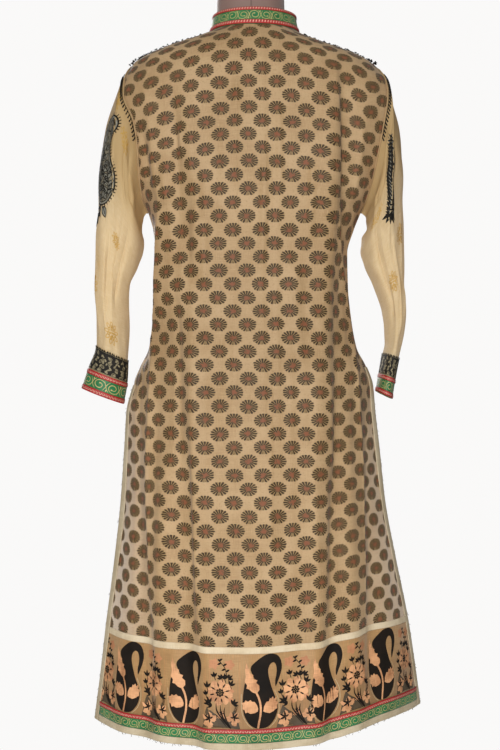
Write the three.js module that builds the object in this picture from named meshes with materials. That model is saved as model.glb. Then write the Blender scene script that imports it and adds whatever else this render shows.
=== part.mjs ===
// A long-sleeved kurti worn on a limbless dress form, which stands on a round weighted base.
// Millimetres, +Z up. The origin is the middle of the base's underside. The garment's back faces -Y, its
// front +Y, and +X is on the right of someone who looks at the back.
// Each cloth panel is a surface worked out from a table of sections, one row for each height, and each
// trim is made from its panel's own points, moved out along the panel's normal.
import * as THREE from "three";

// ---- Driving dimensions -------------------------------------------------------------------------------

const HEM_Z = 300; // hem of the back panel at its middle, above the floor
const BORDER_SEAM_Z = 442; // seam between the figured border and the back panel
const SLIT_TOP_LEFT_Z = 843; // where the left side seam ends and the side slit begins
const SLIT_TOP_RIGHT_Z = 872;
const UNDERARM_Z = 1118;
const SHOULDER_TIP_Z = 1352;
const NECK_Z = 1404; // neck seam, level round the back and dropping towards the front
const FRONT_NECK_DROP = 72; // how far the neck seam drops at the middle of the front
const NECK_SLIT = 165; // length of the opening below the front of the collar
const NECK_SLIT_GAP = 5;
const COLLAR_HEIGHT = 27;

const CLOTH = 1.3; // wall of a cloth panel
const TRIM = 1.0; // wall of a braid, tape or facing
const SEAM = 0.35; // gap left at every seam and under every trim

const TAPE_WIDTH = 10; // pale tape along the border seam
const FACING_WIDTH = 14; // plain strip down each slit edge
const HEM_FACING_WIDTH = 10;
const HEM_BRAID_WIDTH = 21;
const CORD_RADIUS = 1.9; // striped cord round each armhole

const POLE_RADIUS = 12.5;
const BASE_RADIUS = 168;
const FORM_BOTTOM_Z = 772;

// ---- Tables -------------------------------------------------------------------------------------------

// The back panel's sections. mid: X of its middle line. left, right: X of its two edges, and leftY, rightY
// their Y. depth: Y of its middle line. wrap: degrees of the oval that each half covers, 90 where the edge
// runs straight into the front panel. square: 2 for an ellipse, more for a boxier section.
const BACK = [
  { z: 296, mid: 5, left: -256, right: 272, leftY: 14, rightY: 46, depth: -150, wrap: 62, square: 2.0 },
  { z: 380, mid: 4, left: -245, right: 260, leftY: 12, rightY: 38, depth: -146, wrap: 63, square: 2.0 },
  { z: 450, mid: 3, left: -237, right: 249, leftY: 9, rightY: 32, depth: -143, wrap: 64, square: 2.0 },
  { z: 550, mid: 2, left: -224, right: 229, leftY: 6, rightY: 22, depth: -138, wrap: 66, square: 2.05 },
  { z: 650, mid: 1, left: -213, right: 211, leftY: 4, rightY: 14, depth: -133, wrap: 68, square: 2.1 },
  { z: 750, mid: 0, left: -206, right: 200, leftY: 2, rightY: 7, depth: -128, wrap: 72, square: 2.15 },
  { z: 800, mid: 0, left: -203, right: 194, leftY: 1, rightY: 3, depth: -125, wrap: 75, square: 2.2 },
  { z: 843, mid: 0, left: -192, right: 190, leftY: 0, rightY: 1, depth: -121, wrap: 82, square: 2.2 },
  { z: 872, mid: 0, left: -182, right: 180, leftY: 0, rightY: 0, depth: -117, wrap: 90, square: 2.2 },
  { z: 902, mid: -1, left: -168, right: 165, leftY: 0, rightY: 0, depth: -110, wrap: 90, square: 2.2 },
  { z: 950, mid: -2, left: -162, right: 156, leftY: 0, rightY: 0, depth: -98, wrap: 90, square: 2.2 },
  { z: 1000, mid: -3, left: -159, right: 151, leftY: 0, rightY: 0, depth: -91, wrap: 90, square: 2.2 },
  { z: 1054, mid: -3, left: -157, right: 150, leftY: 0, rightY: 0, depth: -91, wrap: 90, square: 2.2 },
  { z: 1090, mid: -2, left: -161, right: 160, leftY: 0, rightY: 0, depth: -95, wrap: 90, square: 2.3 },
  { z: 1118, mid: -1, left: -169, right: 171, leftY: 0, rightY: 0, depth: -99, wrap: 90, square: 2.4 },
  { z: 1140, mid: 0, left: -176, right: 179, leftY: -24, rightY: -24, depth: -101, wrap: 84, square: 2.5 },
  { z: 1171, mid: 0, left: -179, right: 187, leftY: -44, rightY: -44, depth: -103, wrap: 76, square: 2.6 },
  { z: 1212, mid: 0, left: -181, right: 195, leftY: -54, rightY: -54, depth: -104, wrap: 70, square: 2.6 },
  { z: 1255, mid: 0, left: -187, right: 203, leftY: -56, rightY: -56, depth: -102, wrap: 68, square: 2.6 },
  { z: 1300, mid: 0, left: -203, right: 209, leftY: -49, rightY: -49, depth: -98, wrap: 70, square: 2.5 },
  { z: 1325, mid: 0, left: -202, right: 206, leftY: -37, rightY: -37, depth: -95, wrap: 75, square: 2.4 },
  { z: 1342, mid: 0, left: -198, right: 199, leftY: -18, rightY: -18, depth: -93, wrap: 83, square: 2.3 },
  { z: 1352, mid: 0, left: -195, right: 194, leftY: 2, rightY: 2, depth: -91, wrap: 90, square: 2.2 },
  { z: 1363, mid: 0, left: -180, right: 174, leftY: 3, rightY: 3, depth: -88, wrap: 90, square: 2.2 },
  { z: 1374, mid: 0, left: -157, right: 148, leftY: 3, rightY: 3, depth: -84, wrap: 90, square: 2.15 },
  { z: 1385, mid: 0, left: -129, right: 119, leftY: 3, rightY: 3, depth: -79, wrap: 90, square: 2.1 },
  { z: 1396, mid: 0, left: -93, right: 88, leftY: 2, rightY: 2, depth: -73, wrap: 90, square: 2.05 },
  { z: 1404, mid: 0, left: -70, right: 72, leftY: 0, rightY: 0, depth: -68, wrap: 90, square: 2.0 },
];

// How far the hem rises above its middle, by share u of the back's half width. It fades up the skirt.
const HEM_RISE = [
  { u: -1, rise: 7 },
  { u: -0.6, rise: 1 },
  { u: 0, rise: 0 },
  { u: 0.36, rise: 8 },
  { u: 0.44, rise: 14 },
  { u: 0.75, rise: 24 },
  { u: 1, rise: 23 },
];

// The front panel's sections, in the same columns.
const FRONT = [
  { z: 296, mid: 4, left: -168, right: 188, leftY: 52, rightY: 60, depth: 112, wrap: 56, square: 2.0 },
  { z: 450, mid: 3, left: -161, right: 184, leftY: 50, rightY: 56, depth: 110, wrap: 60, square: 2.0 },
  { z: 600, mid: 2, left: -162, right: 182, leftY: 42, rightY: 48, depth: 108, wrap: 66, square: 2.1 },
  { z: 720, mid: 0, left: -173, right: 182, leftY: 26, rightY: 32, depth: 108, wrap: 74, square: 2.2 },
  { z: 800, mid: 0, left: -186, right: 184, leftY: 9, rightY: 14, depth: 110, wrap: 80, square: 2.2 },
  { z: 843, mid: 0, left: -192, right: 186, leftY: 0, rightY: 5, depth: 110, wrap: 85, square: 2.2 },
  { z: 872, mid: 0, left: -182, right: 180, leftY: 0, rightY: 0, depth: 108, wrap: 90, square: 2.2 },
  { z: 902, mid: -1, left: -168, right: 165, leftY: 0, rightY: 0, depth: 104, wrap: 90, square: 2.2 },
  { z: 950, mid: -2, left: -162, right: 156, leftY: 0, rightY: 0, depth: 97, wrap: 90, square: 2.2 },
  { z: 1000, mid: -3, left: -159, right: 151, leftY: 0, rightY: 0, depth: 94, wrap: 90, square: 2.2 },
  { z: 1054, mid: -3, left: -157, right: 150, leftY: 0, rightY: 0, depth: 98, wrap: 90, square: 2.2 },
  { z: 1090, mid: -2, left: -161, right: 160, leftY: 0, rightY: 0, depth: 106, wrap: 90, square: 2.2 },
  { z: 1118, mid: -1, left: -169, right: 171, leftY: 0, rightY: 0, depth: 114, wrap: 90, square: 2.2 },
  { z: 1140, mid: 0, left: -176, right: 179, leftY: 24, rightY: 24, depth: 120, wrap: 84, square: 2.2 },
  { z: 1171, mid: 0, left: -181, right: 186, leftY: 44, rightY: 44, depth: 125, wrap: 76, square: 2.2 },
  { z: 1212, mid: 0, left: -184, right: 192, leftY: 54, rightY: 54, depth: 126, wrap: 70, square: 2.2 },
  { z: 1255, mid: 0, left: -190, right: 199, leftY: 55, rightY: 55, depth: 121, wrap: 68, square: 2.2 },
  { z: 1300, mid: 0, left: -198, right: 204, leftY: 50, rightY: 50, depth: 109, wrap: 70, square: 2.2 },
  { z: 1325, mid: 0, left: -200, right: 203, leftY: 38, rightY: 38, depth: 100, wrap: 75, square: 2.2 },
  { z: 1342, mid: 0, left: -197, right: 198, leftY: 20, rightY: 20, depth: 93, wrap: 83, square: 2.2 },
  { z: 1352, mid: 0, left: -195, right: 194, leftY: 2, rightY: 2, depth: 88, wrap: 90, square: 2.2 },
  { z: 1363, mid: 0, left: -180, right: 174, leftY: 3, rightY: 3, depth: 86, wrap: 90, square: 2.1 },
  { z: 1374, mid: 0, left: -157, right: 148, leftY: 3, rightY: 3, depth: 81, wrap: 90, square: 2.1 },
  { z: 1385, mid: 0, left: -129, right: 119, leftY: 3, rightY: 3, depth: 76, wrap: 90, square: 2.1 },
  { z: 1396, mid: 0, left: -93, right: 88, leftY: 2, rightY: 2, depth: 70, wrap: 90, square: 2.05 },
  { z: 1404, mid: 0, left: -70, right: 72, leftY: 0, rightY: 0, depth: 65, wrap: 90, square: 2.0 },
];

// How far the middle of each row of the front hangs below the row's ends, down to the low front neck.
const FRONT_DROP = [
  { z: 1118, drop: 0 },
  { z: 1171, drop: 3 },
  { z: 1212, drop: 9 },
  { z: 1255, drop: 19 },
  { z: 1300, drop: 33 },
  { z: 1352, drop: 53 },
  { z: NECK_Z, drop: FRONT_NECK_DROP },
];

// The largest folds. Each runs from (topX, topZ) to (lowX, lowZ) and fades over its ends. depth: how far
// it moves the cloth out, negative for a trough. step: 1 where the cloth stands out on the side towards
// the middle and falls back on the other, 0 for a plain ridge or trough.
const BACK_FOLDS = [
  { topX: -112, topZ: 1010, lowX: -78, lowZ: 240, depth: 8, width: 17, step: 1 },
  { topX: 126, topZ: 1340, lowX: 106, lowZ: 240, depth: 7, width: 15, step: 1 },
  { topX: -118, topZ: 1310, lowX: -90, lowZ: 980, depth: 5, width: 12, step: 1 },
  { topX: -150, topZ: 1010, lowX: -176, lowZ: 240, depth: -11, width: 14, step: 0 },
  { topX: 146, topZ: 1060, lowX: 190, lowZ: 320, depth: -9, width: 13, step: 0 },
  { topX: -30, topZ: 620, lowX: -22, lowZ: 240, depth: 4, width: 30, step: 0 },
  { topX: 60, topZ: 560, lowX: 66, lowZ: 240, depth: -4, width: 24, step: 0 },
];
const FRONT_FOLDS = [
  { topX: -118, topZ: 900, lowX: -112, lowZ: 240, depth: 12, width: 22, step: 0 },
  { topX: -70, topZ: 860, lowX: -62, lowZ: 240, depth: -13, width: 24, step: 0 },
  { topX: -12, topZ: 880, lowX: -6, lowZ: 240, depth: 11, width: 24, step: 0 },
  { topX: 48, topZ: 850, lowX: 52, lowZ: 240, depth: -12, width: 22, step: 0 },
  { topX: 104, topZ: 890, lowX: 110, lowZ: 240, depth: 12, width: 22, step: 0 },
];

// The sleeves' rings, from the armhole to the wrist. Each lies in the plane through its outer point
// (outX, outZ), its inner point (inX, inZ) and the Y direction. backY, frontY: its reach in Y.
const LEFT_SLEEVE = [
  { k: 0, outX: -197, outZ: 1351, inX: -173, inZ: 1119, backY: -52, frontY: 52 },
  { k: 1, outX: -210, outZ: 1328, inX: -178, inZ: 1111, backY: -62, frontY: 55 },
  { k: 2, outX: -223, outZ: 1294, inX: -180, inZ: 1101, backY: -68, frontY: 58 },
  { k: 3, outX: -236, outZ: 1250, inX: -178, inZ: 1089, backY: -71, frontY: 59 },
  { k: 4, outX: -243, outZ: 1205, inX: -175, inZ: 1074, backY: -71, frontY: 58 },
  { k: 5, outX: -247, outZ: 1155, inX: -177, inZ: 1053, backY: -69, frontY: 56 },
  { k: 6, outX: -250, outZ: 1100, inX: -185, inZ: 1030, backY: -64, frontY: 52 },
  { k: 7, outX: -252, outZ: 1045, inX: -197, inZ: 1000, backY: -55, frontY: 47 },
  { k: 8, outX: -254, outZ: 993, inX: -201, inZ: 963, backY: -48, frontY: 43 },
  { k: 9, outX: -252, outZ: 945, inX: -199, inZ: 922, backY: -43, frontY: 39 },
  { k: 10, outX: -252, outZ: 905, inX: -201, inZ: 880, backY: -38, frontY: 35 },
  { k: 11, outX: -263, outZ: 871, inX: -203, inZ: 847, backY: -35, frontY: 32 },
  { k: 12, outX: -274, outZ: 838, inX: -209, inZ: 813, backY: -33, frontY: 30 },
];
const RIGHT_SLEEVE = [
  { k: 0, outX: 196, outZ: 1351, inX: 175, inZ: 1119, backY: -52, frontY: 52 },
  { k: 1, outX: 211, outZ: 1326, inX: 181, inZ: 1111, backY: -60, frontY: 55 },
  { k: 2, outX: 221, outZ: 1294, inX: 182, inZ: 1101, backY: -65, frontY: 58 },
  { k: 3, outX: 231, outZ: 1254, inX: 180, inZ: 1089, backY: -67, frontY: 60 },
  { k: 4, outX: 237, outZ: 1205, inX: 175, inZ: 1076, backY: -67, frontY: 60 },
  { k: 5, outX: 239, outZ: 1152, inX: 172, inZ: 1058, backY: -66, frontY: 60 },
  { k: 6, outX: 239, outZ: 1097, inX: 177, inZ: 1034, backY: -63, frontY: 58 },
  { k: 7, outX: 241, outZ: 1040, inX: 190, inZ: 1002, backY: -58, frontY: 54 },
  { k: 8, outX: 244, outZ: 985, inX: 206, inZ: 960, backY: -53, frontY: 50 },
  { k: 9, outX: 240, outZ: 930, inX: 208, inZ: 917, backY: -49, frontY: 46 },
  { k: 10, outX: 231, outZ: 884, inX: 206, inZ: 893, backY: -45, frontY: 42 },
  { k: 11, outX: 225, outZ: 852, inX: 201, inZ: 862, backY: -42, frontY: 39 },
  { k: 12, outX: 220, outZ: 821, inX: 196, inZ: 834, backY: -39, frontY: 36 },
];
const CUFF_TOP_K = 10; // rings 10 to 12 carry the embroidered band and the braid
const CUFF_BRAID_K = 11;
const WRIST_K = 12;

// The sleeves' folds. turn: degrees round the ring, 0 at the inner side, 90 at the back and 180 at the
// outer side. from, to: the rings it spans.
const LEFT_SLEEVE_FOLDS = [
  { from: 1.5, to: 8.5, turn: 82, depth: -10, width: 15 },
  { from: 2, to: 9.5, turn: 128, depth: 4, width: 16 },
  { from: 2, to: 8, turn: 262, depth: -8, width: 18 },
  { from: 7, to: 10.5, turn: 40, depth: -4, width: 16 },
];
const RIGHT_SLEEVE_FOLDS = [
  { from: 2, to: 9, turn: 78, depth: -9, width: 15 },
  { from: 3, to: 10, turn: 132, depth: -5, width: 13 },
  { from: 2, to: 8, turn: 268, depth: -8, width: 18 },
  { from: 7, to: 10.5, turn: 318, depth: -4, width: 16 },
];

// The dress form's sections: half width, Y of its widest line, and Y of its back and front.
const FORM = [
  { z: 772, mid: 0, half: 128, wide: 0, back: -78, front: 70 },
  { z: 779, mid: 0, half: 143, wide: 0, back: -92, front: 80 },
  { z: 795, mid: 0, half: 155, wide: 0, back: -102, front: 88 },
  { z: 830, mid: 0, half: 160, wide: 0, back: -105, front: 92 },
  { z: 870, mid: 0, half: 156, wide: 0, back: -100, front: 91 },
  { z: 930, mid: -1, half: 143, wide: 0, back: -86, front: 85 },
  { z: 1000, mid: -3, half: 136, wide: 0, back: -77, front: 81 },
  { z: 1050, mid: -3, half: 136, wide: 0, back: -77, front: 84 },
  { z: 1110, mid: -1, half: 147, wide: 0, back: -86, front: 98 },
  { z: 1160, mid: 0, half: 158, wide: -2, back: -91, front: 112 },
  { z: 1210, mid: 0, half: 168, wide: -6, back: -93, front: 112 },
  { z: 1260, mid: 0, half: 178, wide: -10, back: -91, front: 98 },
  { z: 1300, mid: 0, half: 184, wide: -14, back: -87, front: 80 },
  { z: 1330, mid: 0, half: 184, wide: -18, back: -84, front: 55 },
  { z: 1350, mid: 0, half: 177, wide: -20, back: -80, front: 40 },
  { z: 1364, mid: -2, half: 162, wide: -18, back: -73, front: 30 },
  { z: 1376, mid: -3, half: 134, wide: -17, back: -66, front: 26 },
  { z: 1387, mid: -4, half: 98, wide: -15, back: -60, front: 25 },
  { z: 1397, mid: -4, half: 63, wide: -9, back: -53, front: 33 },
  { z: 1412, mid: -5, half: 56, wide: -4, back: -50, front: 40 },
  { z: 1445, mid: -5, half: 54, wide: -2, back: -48, front: 42 },
  { z: 1486, mid: -5, half: 53, wide: 0, back: -46, front: 45 },
];

// ---- Surfaces -----------------------------------------------------------------------------------------

const point = (x, y, z) => new THREE.Vector3(x, y, z);
const lerp = THREE.MathUtils.lerp;
const smooth = THREE.MathUtils.smoothstep;
const radians = THREE.MathUtils.degToRad;
const steps = (from, to, count) => Array.from({ length: count + 1 }, (_, i) => lerp(from, to, i / count));

// The value of one column at key, on a curve that passes through the rows and never overshoots them.
function at(table, by, column, key) {
  const last = table.length - 1;
  const x = THREE.MathUtils.clamp(key, table[0][by], table[last][by]);
  let i = 0;
  while (i < last - 1 && table[i + 1][by] < x) i++;
  const slope = (j) => (table[j + 1][column] - table[j][column]) / (table[j + 1][by] - table[j][by]);
  const tangent = (j) => {
    if (j === 0) return slope(0);
    if (j === last) return slope(last - 1);
    const before = slope(j - 1);
    const after = slope(j);
    return before * after <= 0 ? 0 : (2 * before * after) / (before + after);
  };
  const span = table[i + 1][by] - table[i][by];
  const t = (x - table[i][by]) / span;
  const rise = (1 + 2 * t) * (1 - t) ** 2 * table[i][column] + t * t * (3 - 2 * t) * table[i + 1][column];
  return rise + span * (t * (1 - t) ** 2 * tangent(i) - t * t * (1 - t) * tangent(i + 1));
}

// How far a fold moves the cloth at distance x from its line: a ridge, or a ridge beside a trough.
function foldShape(x, width, step) {
  const t = x / width;
  return Math.exp(-0.5 * t * t) * (step ? 1.6 * t : 1);
}

const FINE = 240; // points along a section before it is divided evenly
const FOLD_FADE = 90; // length over which a fold dies away at each end

// One panel's section at height z: evenly spaced points from its left edge to its right edge.
class Panel {
  constructor(table, folds, { edgeGap = 0, drop = () => 0, lift = () => 0 } = {}) {
    Object.assign(this, { table, folds, edgeGap, drop, lift, sections: new Map() });
  }

  fineSection(z) {
    const get = (column) => at(this.table, "z", column, z);
    const [mid, left, right] = [get("mid"), get("left"), get("right")];
    const [leftY, rightY, depth] = [get("leftY"), get("rightY"), get("depth")];
    const wrap = radians(get("wrap"));
    const power = 2 / get("square");
    const drop = this.drop(z);
    const low = Math.max(Math.cos(wrap), 0) ** power;
    const line = steps(-1, 1, FINE).map((t) => {
      const angle = Math.abs(t) * wrap;
      const across = (Math.sin(angle) / Math.sin(wrap)) ** power;
      const deep = Math.max(Math.max(Math.cos(angle), 0) ** power - low, 0) / (1 - low);
      const edgeX = t < 0 ? left : right;
      const edgeY = (t < 0 ? leftY : rightY) + this.edgeGap;
      return point(lerp(mid, edgeX, across), lerp(edgeY, depth, deep), z - drop * deep ** 1.5);
    });
    return line.map((p, i) => {
      const before = line[Math.max(i - 1, 0)];
      const after = line[Math.min(i + 1, FINE)];
      const out = point(after.y - before.y, before.x - after.x, 0).normalize();
      if (depth > 0) out.negate();
      const move = this.folds.reduce((sum, f) => {
        const along = (f.topZ - z) / (f.topZ - f.lowZ);
        const x = (p.x - lerp(f.topX, f.lowX, along)) * (f.topX + f.lowX > 0 ? -1 : 1);
        const fade = smooth(z, f.lowZ, f.lowZ + FOLD_FADE) * (1 - smooth(z, f.topZ - FOLD_FADE, f.topZ));
        return sum + fade * f.depth * foldShape(x, f.width, f.step);
      }, 0);
      const edge = Math.min(1, (1 - Math.abs(i / FINE - 0.5) * 2) * 12);
      return p.clone().addScaledVector(out, move * edge);
    });
  }

  // The section and the distance along it from its middle.
  section(z) {
    if (!this.sections.has(z)) {
      const line = this.fineSection(z);
      const along = [0];
      for (let i = 1; i <= FINE; i++) along.push(along[i - 1] + line[i].distanceTo(line[i - 1]));
      const middle = along[FINE / 2];
      this.sections.set(z, { line, along: along.map((s) => s - middle) });
    }
    return this.sections.get(z);
  }

  // Half the panel's width at height z, on the side that sign says.
  reach(z, sign) {
    const { along } = this.section(z);
    return Math.abs(sign < 0 ? along[0] : along[FINE]);
  }

  // The point at distance s along the section from the panel's middle.
  onRow(z, s) {
    const { line, along } = this.section(z);
    const goal = THREE.MathUtils.clamp(s, along[0], along[FINE]);
    let low = 0;
    let high = FINE;
    while (high - low > 1) {
      const half = (low + high) >> 1;
      if (along[half] <= goal) low = half;
      else high = half;
    }
    const share = (goal - along[low]) / (along[high] - along[low] || 1);
    const p = line[low].clone().lerp(line[high], share);
    p.z += this.lift(s / this.reach(z, s), z);
    return p;
  }

  // The same by share u of the half width, from -1 at the left edge to 1 at the right edge.
  on(u, z) {
    return this.onRow(z, u * this.reach(z, u));
  }

  // The point at share u and height z, moved out along the surface's normal.
  out(u, z, distance) {
    const du = 0.01;
    const dz = 1.5;
    const top = this.table[this.table.length - 1].z;
    const across = this.on(Math.min(u + du, 1), z).sub(this.on(Math.max(u - du, -1), z));
    const up = this.on(u, Math.min(z + dz, top)).sub(this.on(u, Math.max(z - dz, HEM_Z)));
    const normal = across.cross(up).normalize();
    if (this.table[0].depth > 0) normal.negate();
    // Along a closed seam both panels use a normal without a Y part, so that their walls end level.
    if (Math.abs(u) === 1 && at(this.table, "z", "wrap", z) > 81) normal.setY(0).normalize();
    return this.on(u, z).addScaledVector(normal, distance);
  }
}

const hemLift = (u, z) => at(HEM_RISE, "u", "rise", u) * (1 - smooth(z, HEM_Z, 820));

const back = new Panel(BACK, BACK_FOLDS, { lift: hemLift });
const neckDrop = (z) => at(FRONT_DROP, "z", "drop", z);
const front = new Panel(FRONT, FRONT_FOLDS, { edgeGap: SEAM, drop: neckDrop });

// ---- Solids from grids of points ----------------------------------------------------------------------

// A closed wall between two grids of points, each an array of rows. ring: the rows close on themselves.
// keep(row, column) says which cells are cloth.
function wall(outer, inner, { ring = false, keep = () => true } = {}) {
  const rows = outer.length;
  const columns = outer[0].length;
  const cellColumns = ring ? columns : columns - 1;
  const index = (layer, i, j) => (layer * rows + i) * columns + (j % columns);
  const isCloth = (i, j) => {
    if (i < 0 || i >= rows - 1) return false;
    if (!ring && (j < 0 || j >= cellColumns)) return false;
    return keep(i, (j + cellColumns) % cellColumns);
  };
  const faces = [];
  const quad = (a, b, c, d) => faces.push(a, b, c, a, c, d);
  for (let i = 0; i < rows - 1; i++) {
    for (let j = 0; j < cellColumns; j++) {
      if (!isCloth(i, j)) continue;
      const o = [index(0, i, j), index(0, i, j + 1), index(0, i + 1, j + 1), index(0, i + 1, j)];
      const n = [index(1, i, j), index(1, i, j + 1), index(1, i + 1, j + 1), index(1, i + 1, j)];
      quad(o[0], o[1], o[2], o[3]);
      quad(n[0], n[3], n[2], n[1]);
      if (!isCloth(i - 1, j)) quad(n[0], n[1], o[1], o[0]);
      if (!isCloth(i + 1, j)) quad(n[2], n[3], o[3], o[2]);
      if (!isCloth(i, j - 1)) quad(n[3], n[0], o[0], o[3]);
      if (!isCloth(i, j + 1)) quad(n[1], n[2], o[2], o[1]);
    }
  }
  return geometry([...outer.flat(), ...inner.flat()], faces);
}

// A geometry from points and triangles, turned so that its faces point out.
function geometry(points, faces) {
  const volume = new THREE.Vector3();
  let total = 0;
  for (let f = 0; f < faces.length; f += 3) {
    const [a, b, c] = [points[faces[f]], points[faces[f + 1]], points[faces[f + 2]]];
    total += a.dot(volume.crossVectors(b, c));
  }
  const made = new THREE.BufferGeometry().setFromPoints(points);
  made.setIndex(total < 0 ? faces.slice().reverse() : faces);
  made.computeVertexNormals();
  return made;
}

// A strip or sheet of a panel, raised off it. us(z): the shares of the half width that its columns take.
function onPanel(panel, heights, us, raise, thickness, keep) {
  const grid = (distance) => heights.map((z) => us(z).map((u) => panel.out(u, z, distance)));
  return wall(grid(raise + thickness), grid(raise), { keep });
}

// ---- The cloth panels ---------------------------------------------------------------------------------

const BACK_COLUMNS = 32;
const FRONT_COLUMNS = 8; // on each side of the middle

const ARMHOLE_ROWS = [1145, 1185, 1228, 1275, 1315, 1338, SHOULDER_TIP_Z];
const SHOULDER_ROWS = [1363, 1375, 1387, 1397, NECK_Z];
const UPPER_ROWS = [...steps(902, UNDERARM_Z, 4), ...ARMHOLE_ROWS, ...SHOULDER_ROWS];

const TAPE_TOP_Z = BORDER_SEAM_Z + TAPE_WIDTH;
const BRAID_LOW_Z = HEM_Z + HEM_FACING_WIDTH;
const BRAID_TOP_Z = BRAID_LOW_Z + HEM_BRAID_WIDTH;
const BORDER_ROWS = [HEM_Z, BRAID_LOW_Z, BRAID_TOP_Z, (BRAID_TOP_Z + BORDER_SEAM_Z) / 2, BORDER_SEAM_Z];
const SKIRT_ROWS = [...steps(TAPE_TOP_Z, SLIT_TOP_LEFT_Z, 5), SLIT_TOP_RIGHT_Z];

// The back's columns: one down each edge, as wide as the slit facings, and the rest evenly between them.
function backColumns(z) {
  const inner = (sign) => 1 - FACING_WIDTH / back.reach(z, sign);
  return [-1, ...steps(-inner(-1), inner(1), BACK_COLUMNS - 2), 1];
}

function backPanel() {
  const heights = [BORDER_SEAM_Z + SEAM, ...SKIRT_ROWS, ...UPPER_ROWS];
  return onPanel(back, heights, backColumns, -CLOTH, CLOTH);
}

function backBorder() {
  return onPanel(back, BORDER_ROWS, backColumns, -CLOTH, CLOTH);
}

function frontPanel() {
  const slitLow = NECK_Z - NECK_SLIT;
  const upper = UPPER_ROWS.filter((z) => Math.abs(z - slitLow) > 12);
  const heights = [HEM_Z, BRAID_TOP_Z, BORDER_SEAM_Z, ...SKIRT_ROWS.slice(1), ...upper, slitLow];
  heights.sort((a, b) => a - b);
  const slitFrom = heights.indexOf(slitLow);
  const us = (z) => {
    const half = (sign) => {
      const inner = NECK_SLIT_GAP / 2 / front.reach(z, sign);
      return steps(inner, 1, FRONT_COLUMNS).map((u) => sign * u);
    };
    return [...half(-1).reverse(), ...half(1)];
  };
  const keep = (i, j) => i < slitFrom || j !== FRONT_COLUMNS;
  return onPanel(front, heights, us, -CLOTH, CLOTH, keep);
}

// The narrow band sewn round the neck slit.
function neckSlitBand() {
  const bandWidth = 9;
  const slitLow = NECK_Z - NECK_SLIT;
  const heights = [slitLow - bandWidth, slitLow, ...UPPER_ROWS.filter((z) => z > slitLow + 1)];
  const slitFrom = 1;
  const us = (z) => {
    const share = (s) => s / front.reach(z, s);
    return [-bandWidth, -NECK_SLIT_GAP / 2, NECK_SLIT_GAP / 2, bandWidth].map(share);
  };
  const keep = (i, j) => i < slitFrom || j !== 1;
  return onPanel(front, heights, us, SEAM, TRIM, keep);
}

// ---- Trims of the back panel --------------------------------------------------------------------------

// The columns between the two slit facings, with a seam's gap at each end.
function betweenFacings(z) {
  const columns = backColumns(z).slice(1, -1);
  columns[0] += SEAM / back.reach(z, -1);
  columns[columns.length - 1] -= SEAM / back.reach(z, 1);
  return columns;
}

const seamTape = () => onPanel(back, [BORDER_SEAM_Z, TAPE_TOP_Z], betweenFacings, SEAM, TRIM);
const hemBraid = () => onPanel(back, [BRAID_LOW_Z + SEAM, BRAID_TOP_Z], betweenFacings, SEAM, TRIM);
const hemFacing = () => onPanel(back, [HEM_Z, BRAID_LOW_Z], betweenFacings, SEAM, TRIM);

function slitFacing(sign, topZ) {
  const us = (z) => (sign < 0 ? backColumns(z).slice(0, 2) : backColumns(z).slice(-2));
  const heights = [...BORDER_ROWS, ...SKIRT_ROWS].filter((z) => z <= topZ);
  return onPanel(back, heights, us, SEAM, TRIM);
}

// ---- Collar -------------------------------------------------------------------------------------------

// The neck seam from the left end of the front opening, round the back, to the right end.
function neckSeam() {
  const gap = NECK_SLIT_GAP / 2 / front.reach(NECK_Z, 1);
  const frontLeft = steps(-gap, -1, 9).map((u) => front.on(u, NECK_Z));
  const backHalf = steps(-1, 1, 20).map((u) => back.on(u, NECK_Z));
  const frontRight = steps(1, gap, 9).map((u) => front.on(u, NECK_Z));
  return [...frontLeft.slice(0, -1), ...backHalf, ...frontRight.slice(1)];
}

function collar() {
  const seam = neckSeam();
  const lean = 0.2; // how far the stand leans in for each millimetre that it rises
  const axis = point(0, -5, 0);
  const layer = (inset) =>
    [0, 0.5, 1].map((share) =>
      seam.map((p) => {
        const inward = point(axis.x - p.x, axis.y - p.y, 0).normalize();
        const rise = SEAM + 0.3 + share * COLLAR_HEIGHT;
        const moved = p.clone().addScaledVector(inward, inset + share * COLLAR_HEIGHT * lean);
        return moved.add(point(0, 0, rise));
      }),
    );
  return wall(layer(0), layer(CLOTH + TRIM));
}

// ---- Sleeves ------------------------------------------------------------------------------------------

const SLEEVE_COLUMNS = 18;
const LEFT_ARMHOLE_GAP = 2.1; // between the panels' edges and the sleeve's first ring, for both walls
const RIGHT_ARMHOLE_GAP = 1.35;

// The armhole seam at turn, 0 at the underarm, 90 at the back and 180 at the shoulder tip.
function armhole(sign, turn) {
  const z = lerp(UNDERARM_Z, SHOULDER_TIP_Z, (1 - Math.cos(radians(turn))) / 2);
  return (turn <= 180 ? back : front).on(sign, z);
}

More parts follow.
